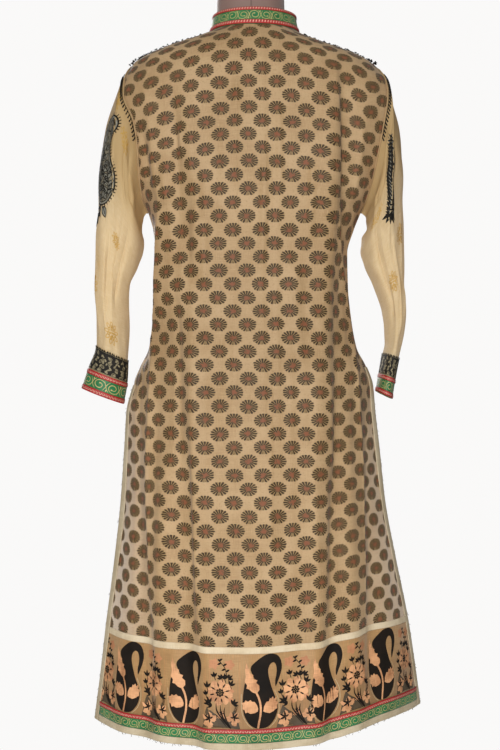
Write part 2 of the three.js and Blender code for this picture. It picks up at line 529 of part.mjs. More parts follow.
class Sleeve {
  constructor(sign, table, folds, seamGap) {
    Object.assign(this, { sign, table, folds, seamGap });
  }

  // The plain oval of ring k.
  oval(k, turn) {
    const get = (column) => at(this.table, "k", column, k);
    const angle = radians(turn);
    const inward = (1 + Math.cos(angle)) / 2;
    const reach = Math.sin(angle);
    const y = reach > 0 ? reach * get("backY") : -reach * get("frontY");
    return point(lerp(get("outX"), get("inX"), inward), y, lerp(get("outZ"), get("inZ"), inward));
  }

  // The cloth's outer face: the oval, with the folds, led into the armhole seam over its first rings.
  on(k, turn) {
    const oval = this.oval(k, turn);
    const centre = this.oval(k, 0).lerp(this.oval(k, 180), 0.5);
    const move = this.folds.reduce((sum, f) => {
      const fade = smooth(k, f.from, f.from + 1.5) * (1 - smooth(k, f.to - 1.5, f.to));
      const apart = THREE.MathUtils.euclideanModulo(turn - f.turn + 180, 360) - 180;
      return sum + fade * f.depth * foldShape(apart, f.width, 0);
    }, 0);
    oval.addScaledVector(oval.clone().sub(centre).normalize(), move);
    const seam = armhole(this.sign, THREE.MathUtils.euclideanModulo(turn, 360));
    seam.x += this.sign * this.seamGap;
    return oval.addScaledVector(seam.sub(this.oval(0, turn)), 1 - smooth(k, 0, 3));
  }

  out(k, turn, distance) {
    const around = this.on(k, turn + 3).sub(this.on(k, turn - 3));
    const along = this.on(Math.min(k + 0.1, WRIST_K), turn).sub(this.on(Math.max(k - 0.1, 0), turn));
    const normal = around.cross(along).normalize().multiplyScalar(-this.sign);
    return this.on(k, turn).addScaledVector(normal, distance);
  }

  // A tube of the sleeve between two rings, raised off it.
  tube(rings, raise, thickness) {
    const turns = steps(0, 360, SLEEVE_COLUMNS).slice(0, -1);
    const grid = (distance) => rings.map((k) => turns.map((turn) => this.out(k, turn, distance)));
    return wall(grid(raise + thickness), grid(raise), { ring: true });
  }
}

const leftSleeve = new Sleeve(-1, LEFT_SLEEVE, LEFT_SLEEVE_FOLDS, LEFT_ARMHOLE_GAP);
const rightSleeve = new Sleeve(1, RIGHT_SLEEVE, RIGHT_SLEEVE_FOLDS, RIGHT_ARMHOLE_GAP);
const CUFF_RINGS = [CUFF_TOP_K, CUFF_BRAID_K, WRIST_K];
const SLEEVE_RINGS = [0, 0.7, 1.5, 2.4, 3.4, 4.5, 5.6, 6.6, 7.6, 8.4, 9.2, ...CUFF_RINGS];
const BRAID_SEAM_K = CUFF_BRAID_K + 0.02; // the braid starts a seam's gap past the embroidered band

// The cord laid along the armhole seam. It runs up the back, over the shoulder and down the front, and
// stops short of the underarm at both ends.
function armholeCord(sleeve) {
  const clearOfUnderarm = 42; // degrees
  const sides = 6;
  const centres = steps(clearOfUnderarm, 360 - clearOfUnderarm, 28).map((turn) => {
    const onRing = (k) => sleeve.out(k, turn, CORD_RADIUS + 2 * SEAM);
    return onRing(SLEEVE_RINGS[0]).lerp(onRing(SLEEVE_RINGS[1]), 0.3);
  });
  const last = centres.length - 1;
  const middle = centres.reduce((sum, p) => sum.add(p), point(0, 0, 0)).divideScalar(centres.length);
  const rings = centres.map((p, i) => {
    const along = centres[Math.min(i + 1, last)].clone().sub(centres[Math.max(i - 1, 0)]).normalize();
    const away = p.clone().sub(middle);
    away.addScaledVector(along, -away.dot(along)).normalize();
    const side = along.clone().cross(away);
    return steps(0, 360, sides).slice(0, -1).map((turn) => {
      const a = radians(turn);
      const reach = away.clone().multiplyScalar(Math.cos(a)).addScaledVector(side, Math.sin(a));
      return p.clone().addScaledVector(reach, CORD_RADIUS);
    });
  });
  return stack(rings, centres[0], centres[last]);
}

// A closed solid through rings of points, capped at a centre point at each end.
function stack(rings, low, high) {
  const count = rings[0].length;
  const points = [...rings.flat(), low, high];
  const [lowIndex, highIndex] = [points.length - 2, points.length - 1];
  const faces = [];
  for (let j = 0; j < count; j++) {
    const next = (j + 1) % count;
    for (let i = 0; i < rings.length - 1; i++) {
      const [a, b] = [i * count + j, i * count + next];
      faces.push(a, b, b + count, a, b + count, a + count);
    }
    const lastRing = (rings.length - 1) * count;
    faces.push(lowIndex, next, j, highIndex, lastRing + j, lastRing + next);
  }
  return geometry(points, faces);
}

// ---- The dress form and its stand ---------------------------------------------------------------------

const FORM_COLUMNS = 24;

function dressForm() {
  const body = [772, 779, 795, 830, 890, 960, 1040, 1110, 1180, 1250, 1300];
  const shouldersAndNeck = [1332, 1350, 1364, 1376, 1387, 1397, 1412, 1486];
  const heights = [...body, ...shouldersAndNeck];
  const rings = heights.map((z) => {
    const get = (column) => at(FORM, "z", column, z);
    return steps(0, 360, FORM_COLUMNS).slice(0, -1).map((turn) => {
      const a = radians(turn);
      const power = 2 / 2.2;
      const x = Math.sign(Math.sin(a)) * Math.abs(Math.sin(a)) ** power;
      const y = lerp(get("wide"), get(Math.cos(a) > 0 ? "back" : "front"), Math.abs(Math.cos(a)) ** power);
      return point(get("mid") + get("half") * x, y, z);
    });
  });
  const top = FORM[FORM.length - 1];
  return stack(rings, point(0, 0, heights[0]), point(top.mid, 0, top.z));
}

const lathe = (profile, segments) =>
  new THREE.LatheGeometry(profile.map(([r, z]) => new THREE.Vector2(r, z)), segments).rotateX(Math.PI / 2);

const BASE_HUB_Z = 30;
const SOCKET_HEIGHT = 26;

function standBase() {
  const rim = BASE_RADIUS;
  const plate = [[0, 0], [rim - 2, 0], [rim, 2], [rim, 9], [rim - 5, 13]];
  const hub = [[30, 17], [24, BASE_HUB_Z], [0, BASE_HUB_Z]];
  return lathe([...plate, ...hub], 36);
}

function pole() {
  const top = FORM_BOTTOM_Z - SOCKET_HEIGHT - 2 * SEAM;
  const low = BASE_HUB_Z + SEAM;
  return lathe([[0, low], [POLE_RADIUS, low], [POLE_RADIUS, top], [0, top]], 20);
}

function poleSocket() {
  const top = FORM_BOTTOM_Z - SEAM;
  const low = top - SOCKET_HEIGHT;
  return lathe([[0, low], [20, low], [22, low + 3], [22, top - 5], [34, top], [0, top]], 24);
}

function neckCap() {
  const low = 1486 + SEAM;
  const profile = [[0, low], [40, low], [42, low + 2], [42, low + 6], [38, low + 9], [0, low + 11]];
  return lathe(profile, 24).translate(FORM[FORM.length - 1].mid, 0, 0);
}

// ---- The object ---------------------------------------------------------------------------------------

const finish = (color, roughness, metalness = 0) =>
  new THREE.MeshStandardMaterial({ color, roughness, metalness });
const BUTI_SILK = finish(0xd3b18c, 0.7);
const BORDER_SILK = finish(0xb99a6e, 0.6);
const PLAIN_CLOTH = finish(0xd9c08f, 0.8);
const BINDING = finish(0xc7b08e, 0.85);
const PALE_TAPE = finish(0xe7d4b1, 0.85);
const BRAID = finish(0x2f8a4c, 0.55);
const EMBROIDERY = finish(0x23211f, 0.8);
const FORM_COVER = finish(0x93756a, 0.6);
const STAND_METAL = finish(0x2a2a2c, 0.4, 0.8);

const PIECES = {
  back_panel: [backPanel(), BUTI_SILK],
  back_border: [backBorder(), BORDER_SILK],
  border_seam_tape: [seamTape(), PALE_TAPE],
  hem_braid: [hemBraid(), BRAID],
  hem_facing: [hemFacing(), BINDING],
  slit_facing_left: [slitFacing(-1, SLIT_TOP_LEFT_Z), BINDING],
  slit_facing_right: [slitFacing(1, SLIT_TOP_RIGHT_Z), BINDING],
  front_panel: [frontPanel(), PLAIN_CLOTH],
  neck_slit_band: [neckSlitBand(), BINDING],
  collar: [collar(), BRAID],
  sleeve_left: [leftSleeve.tube(SLEEVE_RINGS, -CLOTH, CLOTH), PLAIN_CLOTH],
  sleeve_right: [rightSleeve.tube(SLEEVE_RINGS, -CLOTH, CLOTH), PLAIN_CLOTH],
  cuff_embroidery_left: [leftSleeve.tube([CUFF_TOP_K, CUFF_BRAID_K], SEAM, TRIM), EMBROIDERY],
  cuff_embroidery_right: [rightSleeve.tube([CUFF_TOP_K, CUFF_BRAID_K], SEAM, TRIM), EMBROIDERY],
  cuff_braid_left: [leftSleeve.tube([BRAID_SEAM_K, WRIST_K], SEAM, TRIM), BRAID],
  cuff_braid_right: [rightSleeve.tube([BRAID_SEAM_K, WRIST_K], SEAM, TRIM), BRAID],
  armhole_cord_left: [armholeCord(leftSleeve), EMBROIDERY],
  armhole_cord_right: [armholeCord(rightSleeve), EMBROIDERY],
  dress_form: [dressForm(), FORM_COVER],
  neck_cap: [neckCap(), STAND_METAL],
  pole_socket: [poleSocket(), STAND_METAL],
  pole: [pole(), STAND_METAL],
  stand_base: [standBase(), STAND_METAL],
};

const kurtiOnForm = new THREE.Group();
for (const [name, [shape, material]] of Object.entries(PIECES)) {
  const mesh = new THREE.Mesh(shape, material);
  mesh.name = name;
  kurtiOnForm.add(mesh);
}
export default kurtiOnForm;
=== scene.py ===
"""A long-sleeved kurti on a dress form and stand, seen from the garment's back.

Metres, +Z up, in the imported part's frame: the garment's back faces -Y and the floor is at z 0.
Each cloth is a fine surface worked out from the part's own section tables. Motifs, braids and
stitches are drawn flat in a cloth's own coordinates and then laid on its surface.
"""

import math

import bpy
import numpy as np
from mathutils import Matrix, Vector
from mathutils.geometry import delaunay_2d_cdt

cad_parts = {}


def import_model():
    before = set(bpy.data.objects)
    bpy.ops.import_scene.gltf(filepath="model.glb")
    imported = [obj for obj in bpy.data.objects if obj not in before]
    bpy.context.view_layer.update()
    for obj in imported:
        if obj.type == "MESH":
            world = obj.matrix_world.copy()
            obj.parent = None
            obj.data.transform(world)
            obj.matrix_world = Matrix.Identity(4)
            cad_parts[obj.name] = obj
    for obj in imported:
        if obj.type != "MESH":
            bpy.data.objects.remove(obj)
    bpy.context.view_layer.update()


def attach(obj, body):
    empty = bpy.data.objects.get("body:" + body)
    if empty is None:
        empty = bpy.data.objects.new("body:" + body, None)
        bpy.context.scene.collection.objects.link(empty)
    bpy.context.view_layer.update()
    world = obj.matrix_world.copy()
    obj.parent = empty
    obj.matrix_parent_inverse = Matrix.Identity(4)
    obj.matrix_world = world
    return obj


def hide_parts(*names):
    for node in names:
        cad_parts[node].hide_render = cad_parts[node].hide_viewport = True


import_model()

# ---- Sizes ---------------------------------------------------------------------------------------

HEM_Z = 0.300
BORDER_SEAM_Z = 0.442
SLIT_TOP_LEFT_Z = 0.843
SLIT_TOP_RIGHT_Z = 0.872
UNDERARM_Z = 1.118
SHOULDER_TIP_Z = 1.352
NECK_Z = 1.404
HEM_LIFT_TOP_Z = 0.820  # up to here the hem's rise at the sides is felt
NECK_SLIT = 0.165
NECK_SLIT_GAP = 0.005
NECK_BAND_WIDTH = 0.009
COLLAR_HEIGHT = 0.027
COLLAR_LEAN = 0.2  # inward for each metre that the collar rises
COLLAR_THICKNESS = 0.0023
COLLAR_LOW_PIPING = 0.0068
COLLAR_HIGH_PIPING = 0.0050
COLLAR_COLUMNS = 361  # points along the collar
COLLAR_BEAD_PITCH = 0.0046
COLLAR_BEAD_WIDTH = 0.0015
LEFT_SLEEVE_GAP = 0.0021  # from a sleeve's seam to the panels' edges
RIGHT_SLEEVE_GAP = 0.00135
SLEEVE_ORIGIN_TURN = 150  # the turn that a sleeve's flat coordinates start from
SLEEVE_RINGS = 12  # a sleeve's table runs from ring 0 at the armhole to this one

TAPE_WIDTH = 0.010
FACING_WIDTH = 0.014
HEM_FACING_WIDTH = 0.010
HEM_BRAID_WIDTH = 0.021
BRAID_RED = 0.0065  # width of the hem braid's red strip
SEAM = 0.00035  # the gap between a cloth and what is sewn on it
TRIM = 0.0010  # a trim's thickness
THREAD_LIFT = 0.0002  # of thread above the band that it is worked on

ROSETTE_PITCH = 0.0439  # between rosettes of one row
ROSETTE_ROW = 0.0208  # between rows, each half a pitch aside of the next
ROSETTE_HALF_WIDTH = 0.0133
ROSETTE_HALF_HEIGHT = 0.0106
ROSETTE_ACROSS = -0.0084  # one rosette's middle
ROSETTE_UP = 1.1027
ROSETTE_PETALS = 16
ROW_DROOP = 0.018  # how far a row has sunk at the shoulder's side
LEAN_Z = 1.24  # above this the back leans over the shoulders

PAISLEYS_ACROSS = (-0.240, -0.120, 0.0055, 0.110, 0.229)
SPRAYS_ACROSS = (-0.296, -0.180, -0.055, 0.060, 0.168, 0.292)
BORDER_FOOT_Z = HEM_Z + HEM_FACING_WIDTH + HEM_BRAID_WIDTH
HEM_BRAID_LEFT = -0.3135
HEM_BRAID_RIGHT = 0.3375

CAMERA_PLACE = (-0.006, -2.2, 0.859)
CAMERA_LENS = 66.0  # on a 36 mm high sensor

# ---- The part's own tables -----------------------------------------------------------------------


def rows(header, *values):
    """A table as {column: its values}. The first column is the one that the table is read by."""
    return dict(zip(header.split(), np.array(values, float).T))


BACK = rows(
    "z mid left right leftY rightY depth wrap square",
    (0.296, 0.005, -0.256, 0.272, 0.014, 0.046, -0.150, 62, 2.0),
    (0.380, 0.004, -0.245, 0.260, 0.012, 0.038, -0.146, 63, 2.0),
    (0.450, 0.003, -0.237, 0.249, 0.009, 0.032, -0.143, 64, 2.0),
    (0.550, 0.002, -0.224, 0.229, 0.006, 0.022, -0.138, 66, 2.05),
    (0.650, 0.001, -0.213, 0.211, 0.004, 0.014, -0.133, 68, 2.1),
    (0.750, 0.000, -0.206, 0.200, 0.002, 0.007, -0.128, 72, 2.15),
    (0.800, 0.000, -0.203, 0.194, 0.001, 0.003, -0.125, 75, 2.2),
    (0.843, 0.000, -0.192, 0.190, 0.000, 0.001, -0.121, 82, 2.2),
    (0.872, 0.000, -0.182, 0.180, 0.000, 0.000, -0.117, 90, 2.2),
    (0.902, -0.001, -0.168, 0.165, 0.000, 0.000, -0.110, 90, 2.2),
    (0.950, -0.002, -0.162, 0.156, 0.000, 0.000, -0.098, 90, 2.2),
    (1.000, -0.003, -0.159, 0.151, 0.000, 0.000, -0.091, 90, 2.2),
    (1.054, -0.003, -0.157, 0.150, 0.000, 0.000, -0.091, 90, 2.2),
    (1.090, -0.002, -0.161, 0.160, 0.000, 0.000, -0.095, 90, 2.3),
    (1.118, -0.001, -0.169, 0.171, 0.000, 0.000, -0.099, 90, 2.4),
    (1.140, 0.000, -0.176, 0.179, -0.024, -0.024, -0.101, 84, 2.5),
    (1.171, 0.000, -0.179, 0.187, -0.044, -0.044, -0.103, 76, 2.6),
    (1.212, 0.000, -0.181, 0.195, -0.054, -0.054, -0.104, 70, 2.6),
    (1.255, 0.000, -0.187, 0.203, -0.056, -0.056, -0.102, 68, 2.6),
    (1.300, 0.000, -0.203, 0.209, -0.049, -0.049, -0.098, 70, 2.5),
    (1.325, 0.000, -0.202, 0.206, -0.037, -0.037, -0.095, 75, 2.4),
    (1.342, 0.000, -0.198, 0.199, -0.018, -0.018, -0.093, 83, 2.3),
    (1.352, 0.000, -0.195, 0.194, 0.002, 0.002, -0.091, 90, 2.2),
    (1.363, 0.000, -0.180, 0.174, 0.003, 0.003, -0.088, 90, 2.2),
    (1.374, 0.000, -0.157, 0.148, 0.003, 0.003, -0.084, 90, 2.15),
    (1.385, 0.000, -0.129, 0.119, 0.003, 0.003, -0.079, 90, 2.1),
    (1.396, 0.000, -0.093, 0.088, 0.002, 0.002, -0.073, 90, 2.05),
    (1.404, 0.000, -0.070, 0.072, 0.000, 0.000, -0.068, 90, 2.0),
)
HEM_RISE = rows(
    "u rise",
    (-1, 0.007),
    (-0.6, 0.001),
    (0, 0.000),
    (0.36, 0.008),
    (0.44, 0.014),
    (0.75, 0.024),
    (1, 0.023),
)
FRONT = rows(
    "z mid left right leftY rightY depth wrap square",
    (0.296, 0.004, -0.168, 0.188, 0.052, 0.060, 0.112, 56, 2.0),
    (0.450, 0.003, -0.161, 0.184, 0.050, 0.056, 0.110, 60, 2.0),
    (0.600, 0.002, -0.162, 0.182, 0.042, 0.048, 0.108, 66, 2.1),
    (0.720, 0.000, -0.173, 0.182, 0.026, 0.032, 0.108, 74, 2.2),
    (0.800, 0.000, -0.186, 0.184, 0.009, 0.014, 0.110, 80, 2.2),
    (0.843, 0.000, -0.192, 0.186, 0.000, 0.005, 0.110, 85, 2.2),
    (0.872, 0.000, -0.182, 0.180, 0.000, 0.000, 0.108, 90, 2.2),
    (0.902, -0.001, -0.168, 0.165, 0.000, 0.000, 0.104, 90, 2.2),
    (0.950, -0.002, -0.162, 0.156, 0.000, 0.000, 0.097, 90, 2.2),
    (1.000, -0.003, -0.159, 0.151, 0.000, 0.000, 0.094, 90, 2.2),
    (1.054, -0.003, -0.157, 0.150, 0.000, 0.000, 0.098, 90, 2.2),
    (1.090, -0.002, -0.161, 0.160, 0.000, 0.000, 0.106, 90, 2.2),
    (1.118, -0.001, -0.169, 0.171, 0.000, 0.000, 0.114, 90, 2.2),
    (1.140, 0.000, -0.176, 0.179, 0.024, 0.024, 0.120, 84, 2.2),
    (1.171, 0.000, -0.181, 0.186, 0.044, 0.044, 0.125, 76, 2.2),
    (1.212, 0.000, -0.184, 0.192, 0.054, 0.054, 0.126, 70, 2.2),
    (1.255, 0.000, -0.190, 0.199, 0.055, 0.055, 0.121, 68, 2.2),
    (1.300, 0.000, -0.198, 0.204, 0.050, 0.050, 0.109, 70, 2.2),
    (1.325, 0.000, -0.200, 0.203, 0.038, 0.038, 0.100, 75, 2.2),
    (1.342, 0.000, -0.197, 0.198, 0.020, 0.020, 0.093, 83, 2.2),
    (1.352, 0.000, -0.195, 0.194, 0.002, 0.002, 0.088, 90, 2.2),
    (1.363, 0.000, -0.180, 0.174, 0.003, 0.003, 0.086, 90, 2.1),
    (1.374, 0.000, -0.157, 0.148, 0.003, 0.003, 0.081, 90, 2.1),
    (1.385, 0.000, -0.129, 0.119, 0.003, 0.003, 0.076, 90, 2.1),
    (1.396, 0.000, -0.093, 0.088, 0.002, 0.002, 0.070, 90, 2.05),
    (1.404, 0.000, -0.070, 0.072, 0.000, 0.000, 0.065, 90, 2.0),
)
FRONT_DROP = rows(
    "z drop",
    (1.118, 0.000),
    (1.171, 0.003),
    (1.212, 0.009),
    (1.255, 0.019),
    (1.300, 0.033),
    (1.352, 0.053),
    (1.404, 0.072),
)
BACK_FOLDS = rows(
    "topX topZ lowX lowZ depth width step",
    (-0.112, 1.010, -0.078, 0.240, 0.008, 0.017, 1),
    (0.126, 1.340, 0.106, 0.240, 0.007, 0.015, 1),
    (-0.118, 1.310, -0.090, 0.980, 0.005, 0.012, 1),
    (-0.150, 1.010, -0.176, 0.240, -0.011, 0.014, 0),
    (0.146, 1.060, 0.190, 0.320, -0.009, 0.013, 0),
    (-0.030, 0.620, -0.022, 0.240, 0.004, 0.030, 0),
    (0.060, 0.560, 0.066, 0.240, -0.004, 0.024, 0),
)
FRONT_FOLDS = rows(
    "topX topZ lowX lowZ depth width step",
    (-0.118, 0.900, -0.112, 0.240, 0.012, 0.022, 0),
    (-0.070, 0.860, -0.062, 0.240, -0.013, 0.024, 0),
    (-0.012, 0.880, -0.006, 0.240, 0.011, 0.024, 0),
    (0.048, 0.850, 0.052, 0.240, -0.012, 0.022, 0),
    (0.104, 0.890, 0.110, 0.240, 0.012, 0.022, 0),
)
LEFT_SLEEVE = rows(
    "k outX outZ inX inZ backY frontY",
    (0, -0.197, 1.351, -0.173, 1.119, -0.052, 0.052),
    (1, -0.210, 1.328, -0.178, 1.111, -0.062, 0.055),
    (2, -0.223, 1.294, -0.180, 1.101, -0.068, 0.058),
    (3, -0.236, 1.250, -0.178, 1.089, -0.071, 0.059),
    (4, -0.243, 1.205, -0.175, 1.074, -0.071, 0.058),
    (5, -0.247, 1.155, -0.177, 1.053, -0.069, 0.056),
    (6, -0.250, 1.100, -0.185, 1.030, -0.064, 0.052),
    (7, -0.252, 1.045, -0.197, 1.000, -0.055, 0.047),
    (8, -0.254, 0.993, -0.201, 0.963, -0.048, 0.043),
    (9, -0.252, 0.945, -0.199, 0.922, -0.043, 0.039),
    (10, -0.252, 0.905, -0.201, 0.880, -0.038, 0.035),
    (11, -0.263, 0.871, -0.203, 0.847, -0.035, 0.032),
    (12, -0.274, 0.838, -0.209, 0.813, -0.033, 0.030),
)
RIGHT_SLEEVE = rows(
    "k outX outZ inX inZ backY frontY",
    (0, 0.196, 1.351, 0.175, 1.119, -0.052, 0.052),
    (1, 0.211, 1.326, 0.181, 1.111, -0.060, 0.055),
    (2, 0.221, 1.294, 0.182, 1.101, -0.065, 0.058),
    (3, 0.231, 1.254, 0.180, 1.089, -0.067, 0.060),
    (4, 0.237, 1.205, 0.175, 1.076, -0.067, 0.060),
    (5, 0.239, 1.152, 0.172, 1.058, -0.066, 0.060),
    (6, 0.239, 1.097, 0.177, 1.034, -0.063, 0.058),
    (7, 0.241, 1.040, 0.190, 1.002, -0.058, 0.054),
    (8, 0.244, 0.985, 0.206, 0.960, -0.053, 0.050),
    (9, 0.240, 0.930, 0.208, 0.917, -0.049, 0.046),
    (10, 0.231, 0.884, 0.206, 0.893, -0.045, 0.042),
    (11, 0.225, 0.852, 0.201, 0.862, -0.042, 0.039),
    (12, 0.220, 0.821, 0.196, 0.834, -0.039, 0.036),
)
LEFT_SLEEVE_FOLDS = rows(
    "from to turn depth width",
    (1.5, 8.5, 82, -0.010, 15),
    (2, 9.5, 128, 0.004, 16),
    (2, 8, 262, -0.008, 18),
    (7, 10.5, 40, -0.004, 16),
)
RIGHT_SLEEVE_FOLDS = rows(
    "from to turn depth width",
    (2, 9, 78, -0.009, 15),
    (3, 10, 132, -0.005, 13),
    (2, 8, 268, -0.008, 18),
    (7, 10.5, 318, -0.004, 16),
)
FORM = rows(
    "z mid half wide back front",
    (0.772, 0.000, 0.128, 0.000, -0.078, 0.070),
    (0.779, 0.000, 0.143, 0.000, -0.092, 0.080),
    (0.795, 0.000, 0.155, 0.000, -0.102, 0.088),
    (0.830, 0.000, 0.160, 0.000, -0.105, 0.092),
    (0.870, 0.000, 0.156, 0.000, -0.100, 0.091),
    (0.930, -0.001, 0.143, 0.000, -0.086, 0.085),
    (1.000, -0.003, 0.136, 0.000, -0.077, 0.081),
    (1.050, -0.003, 0.136, 0.000, -0.077, 0.084),
    (1.110, -0.001, 0.147, 0.000, -0.086, 0.098),
    (1.160, 0.000, 0.158, -0.002, -0.091, 0.112),
    (1.210, 0.000, 0.168, -0.006, -0.093, 0.112),
    (1.260, 0.000, 0.178, -0.010, -0.091, 0.098),
    (1.300, 0.000, 0.184, -0.014, -0.087, 0.080),
    (1.330, 0.000, 0.184, -0.018, -0.084, 0.055),
    (1.350, 0.000, 0.177, -0.020, -0.080, 0.040),
    (1.364, -0.002, 0.162, -0.018, -0.073, 0.030),
    (1.376, -0.003, 0.134, -0.017, -0.066, 0.026),
    (1.387, -0.004, 0.098, -0.015, -0.060, 0.025),
    (1.397, -0.004, 0.063, -0.009, -0.053, 0.033),
    (1.412, -0.005, 0.056, -0.004, -0.050, 0.040),
    (1.445, -0.005, 0.054, -0.002, -0.048, 0.042),
    (1.486, -0.005, 0.053, 0.000, -0.046, 0.045),
)

# ---- Surfaces ------------------------------------------------------------------------------------


def smooth(x, low, high):
    """0 below low, 1 above high and a soft step between."""
    t = np.clip((np.asarray(x, float) - low) / (high - low), 0, 1)
    return t * t * (3 - 2 * t)


def at(table, column, key):
    """A column's value at key, on a curve that passes through the rows and never overshoots them."""
    x, y = next(iter(table.values())), table[column]
    key = np.clip(key, x[0], x[-1])
    i = np.clip(np.searchsorted(x, key, side="right") - 1, 0, len(x) - 2)
    slope = np.diff(y) / np.diff(x)
    before, after = slope[:-1], slope[1:]
    same_way = before * after > 0
    inner = np.where(same_way, 2 * before * after / np.where(same_way, before + after, 1), 0)
    tangent = np.concatenate([slope[:1], inner, slope[-1:]])
    span = x[i + 1] - x[i]
    t = (key - x[i]) / span
    rise = (1 + 2 * t) * (1 - t) ** 2 * y[i] + t * t * (3 - 2 * t) * y[i + 1]
    return rise + span * (t * (1 - t) ** 2 * tangent[i] - t * t * (1 - t) * tangent[i + 1])


def fold_shape(x, width, step):
    """A ridge, or where step is 1 a ridge beside a trough."""
    t = x / width
    return np.exp(-0.5 * t * t) * (1.6 * t if step else 1)


def unit(vectors):
    """Vectors at a length of 1."""
    return vectors / np.maximum(np.linalg.norm(vectors, axis=-1, keepdims=True), 1e-12)


def lengths(line):
    """How far along a line each of its points lies."""
    return np.concatenate([[0], np.linalg.norm(np.diff(line, axis=0), axis=-1).cumsum()])


def resampled(goal, along, line):
    """The points at distances goal of a line, whose own points lie at distances along."""
    return np.stack([np.interp(goal, along, line[:, axis]) for axis in range(3)], -1)


def circle(turn):
    """The unit circle's points at these turns, in radians."""
    return np.stack([np.cos(turn), np.sin(turn)], -1)


def leftward(along):
    """Flat directions turned a quarter to their left."""
    return np.stack([-along[:, 1], along[:, 0]], -1)


FINE = 480  # steps along a section before it is divided evenly
FOLD_FADE = 0.090


class Panel:
    """A cloth panel's sections, as in the part's source."""

    def __init__(self, table, folds, edge_gap=0.0, drop=None, lift=None):
        self.table, self.folds, self.edge_gap = table, folds, edge_gap
        self.drop, self.lift = drop, lift

    def lines(self, heights):
        """One fine section for each height: heights x FINE + 1 x 3."""
        z = np.asarray(heights, float)[:, None]
        value = {c: at(self.table, c, z) for c in list(self.table)[1:]}
        wrap = np.radians(value["wrap"])
        power = 2 / value["square"]
        low = np.maximum(np.cos(wrap), 0) ** power
        t = np.linspace(-1, 1, FINE + 1)[None, :]
        angle = np.abs(t) * wrap
        across = (np.sin(angle) / np.sin(wrap)) ** power
        deep = np.maximum(np.maximum(np.cos(angle), 0) ** power - low, 0) / (1 - low)
        edge_x = np.where(t < 0, value["left"], value["right"])
        edge_y = np.where(t < 0, value["leftY"], value["rightY"]) + self.edge_gap
        x = value["mid"] + (edge_x - value["mid"]) * across
        y = edge_y + (value["depth"] - edge_y) * deep
        dropped = self.drop(z) * deep**1.5 if self.drop else 0
        line = np.stack(np.broadcast_arrays(x, y, z - dropped), -1)
        after = np.concatenate([line[:, 1:], line[:, -1:]], 1)
        before = np.concatenate([line[:, :1], line[:, :-1]], 1)
        step = after - before
        out = unit(np.stack([step[..., 1], -step[..., 0], np.zeros_like(x)], -1))
        out = np.where((value["depth"] > 0)[..., None], -out, out)
        move = np.zeros_like(x)
        for top_x, top_z, low_x, low_z, depth, width, is_step in zip(*self.folds.values()):
            along = (top_z - z) / (top_z - low_z)
            aside = (x - (top_x + (low_x - top_x) * along)) * (-1 if top_x + low_x > 0 else 1)
            fade = smooth(z, low_z, low_z + FOLD_FADE) * (1 - smooth(z, top_z - FOLD_FADE, top_z))
            move += fade * depth * fold_shape(aside, width, is_step)
        edge = np.minimum(1, (1 - np.abs(t)) * 12)
        return line + out * (move * edge)[..., None]

    def grid(self, heights, shares):
        """Points at shares (-1 to 1) of the half width, and their distance across from the middle."""
        line = self.lines(heights)
        along = np.array([lengths(section) for section in line])
        along -= along[:, FINE // 2][:, None]
        shares = np.broadcast_to(shares, (len(line), np.shape(shares)[-1]))
        across = shares * np.where(shares < 0, -along[:, :1], along[:, -1:])
        points = np.array([resampled(*each) for each in zip(across, along, line)])
        if self.lift:
            points[..., 2] += self.lift(shares, np.asarray(heights, float)[:, None])
        return points, across


def hem_lift(share, z):
    """How much higher the back hangs away from its middle, less and less up to the hips."""
    return at(HEM_RISE, "rise", share) * (1 - smooth(z, HEM_Z, HEM_LIFT_TOP_Z))


back = Panel(BACK, BACK_FOLDS, lift=hem_lift)
front = Panel(FRONT, FRONT_FOLDS, edge_gap=SEAM, drop=lambda z: at(FRONT_DROP, "drop", z))


class Sleeve:
    """A sleeve's rings, as in the part's source. turn is 0 at the underarm, 90 at the back, 180 outside."""

    def __init__(self, sign, table, folds, seam_gap):
        self.sign, self.table, self.folds, self.seam_gap = sign, table, folds, seam_gap

    def oval(self, k, turn):
        """The bare ring's points, without folds."""
        angle = np.radians(turn)
        inward = (1 + np.cos(angle)) / 2
        reach = np.sin(angle)
        get = lambda column: at(self.table, column, k)
        y = np.where(reach > 0, reach * get("backY"), -reach * get("frontY"))
        x = get("outX") + (get("inX") - get("outX")) * inward
        z = get("outZ") + (get("inZ") - get("outZ")) * inward
        return np.stack(np.broadcast_arrays(x, y, z), -1)

    def seam(self, turn):
        """The armhole seam's points at an array of turns."""
        z = UNDERARM_Z + (SHOULDER_TIP_Z - UNDERARM_Z) * (1 - np.cos(np.radians(turn))) / 2
        points = [
            (back if angle <= 180 else front).grid([height], np.array([float(self.sign)]))[0][0, 0]
            for angle, height in zip(turn % 360, z)
        ]
        return np.array(points)

    def grid(self, rings, turns):
        """The sleeve's points, folded and drawn to the armhole's seam."""
        k, turn = np.asarray(rings, float)[:, None], np.asarray(turns, float)[None, :]
        oval = self.oval(k, turn)
        centre = (self.oval(k, 0.0 * turn) + self.oval(k, 180.0 + 0 * turn)) / 2
        move = np.zeros(oval.shape[:2])
        for start, end, fold_turn, depth, width in zip(*self.folds.values()):
            fade = smooth(k, start, start + 1.5) * (1 - smooth(k, end - 1.5, end))
            apart = (turn - fold_turn + 180) % 360 - 180
            move += fade * depth * fold_shape(apart, width, 0)
        points = oval + unit(oval - centre) * move[..., None]
        seam = self.seam(np.asarray(turns, float))
        seam[:, 0] += self.sign * self.seam_gap
        return points + (seam[None] - self.oval(0.0 * k[:1], turn)) * (1 - smooth(k, 0, 3))[..., None]


left_sleeve = Sleeve(-1, LEFT_SLEEVE, LEFT_SLEEVE_FOLDS, LEFT_SLEEVE_GAP)
right_sleeve = Sleeve(1, RIGHT_SLEEVE, RIGHT_SLEEVE_FOLDS, RIGHT_SLEEVE_GAP)


WAVE_COUNT = 18


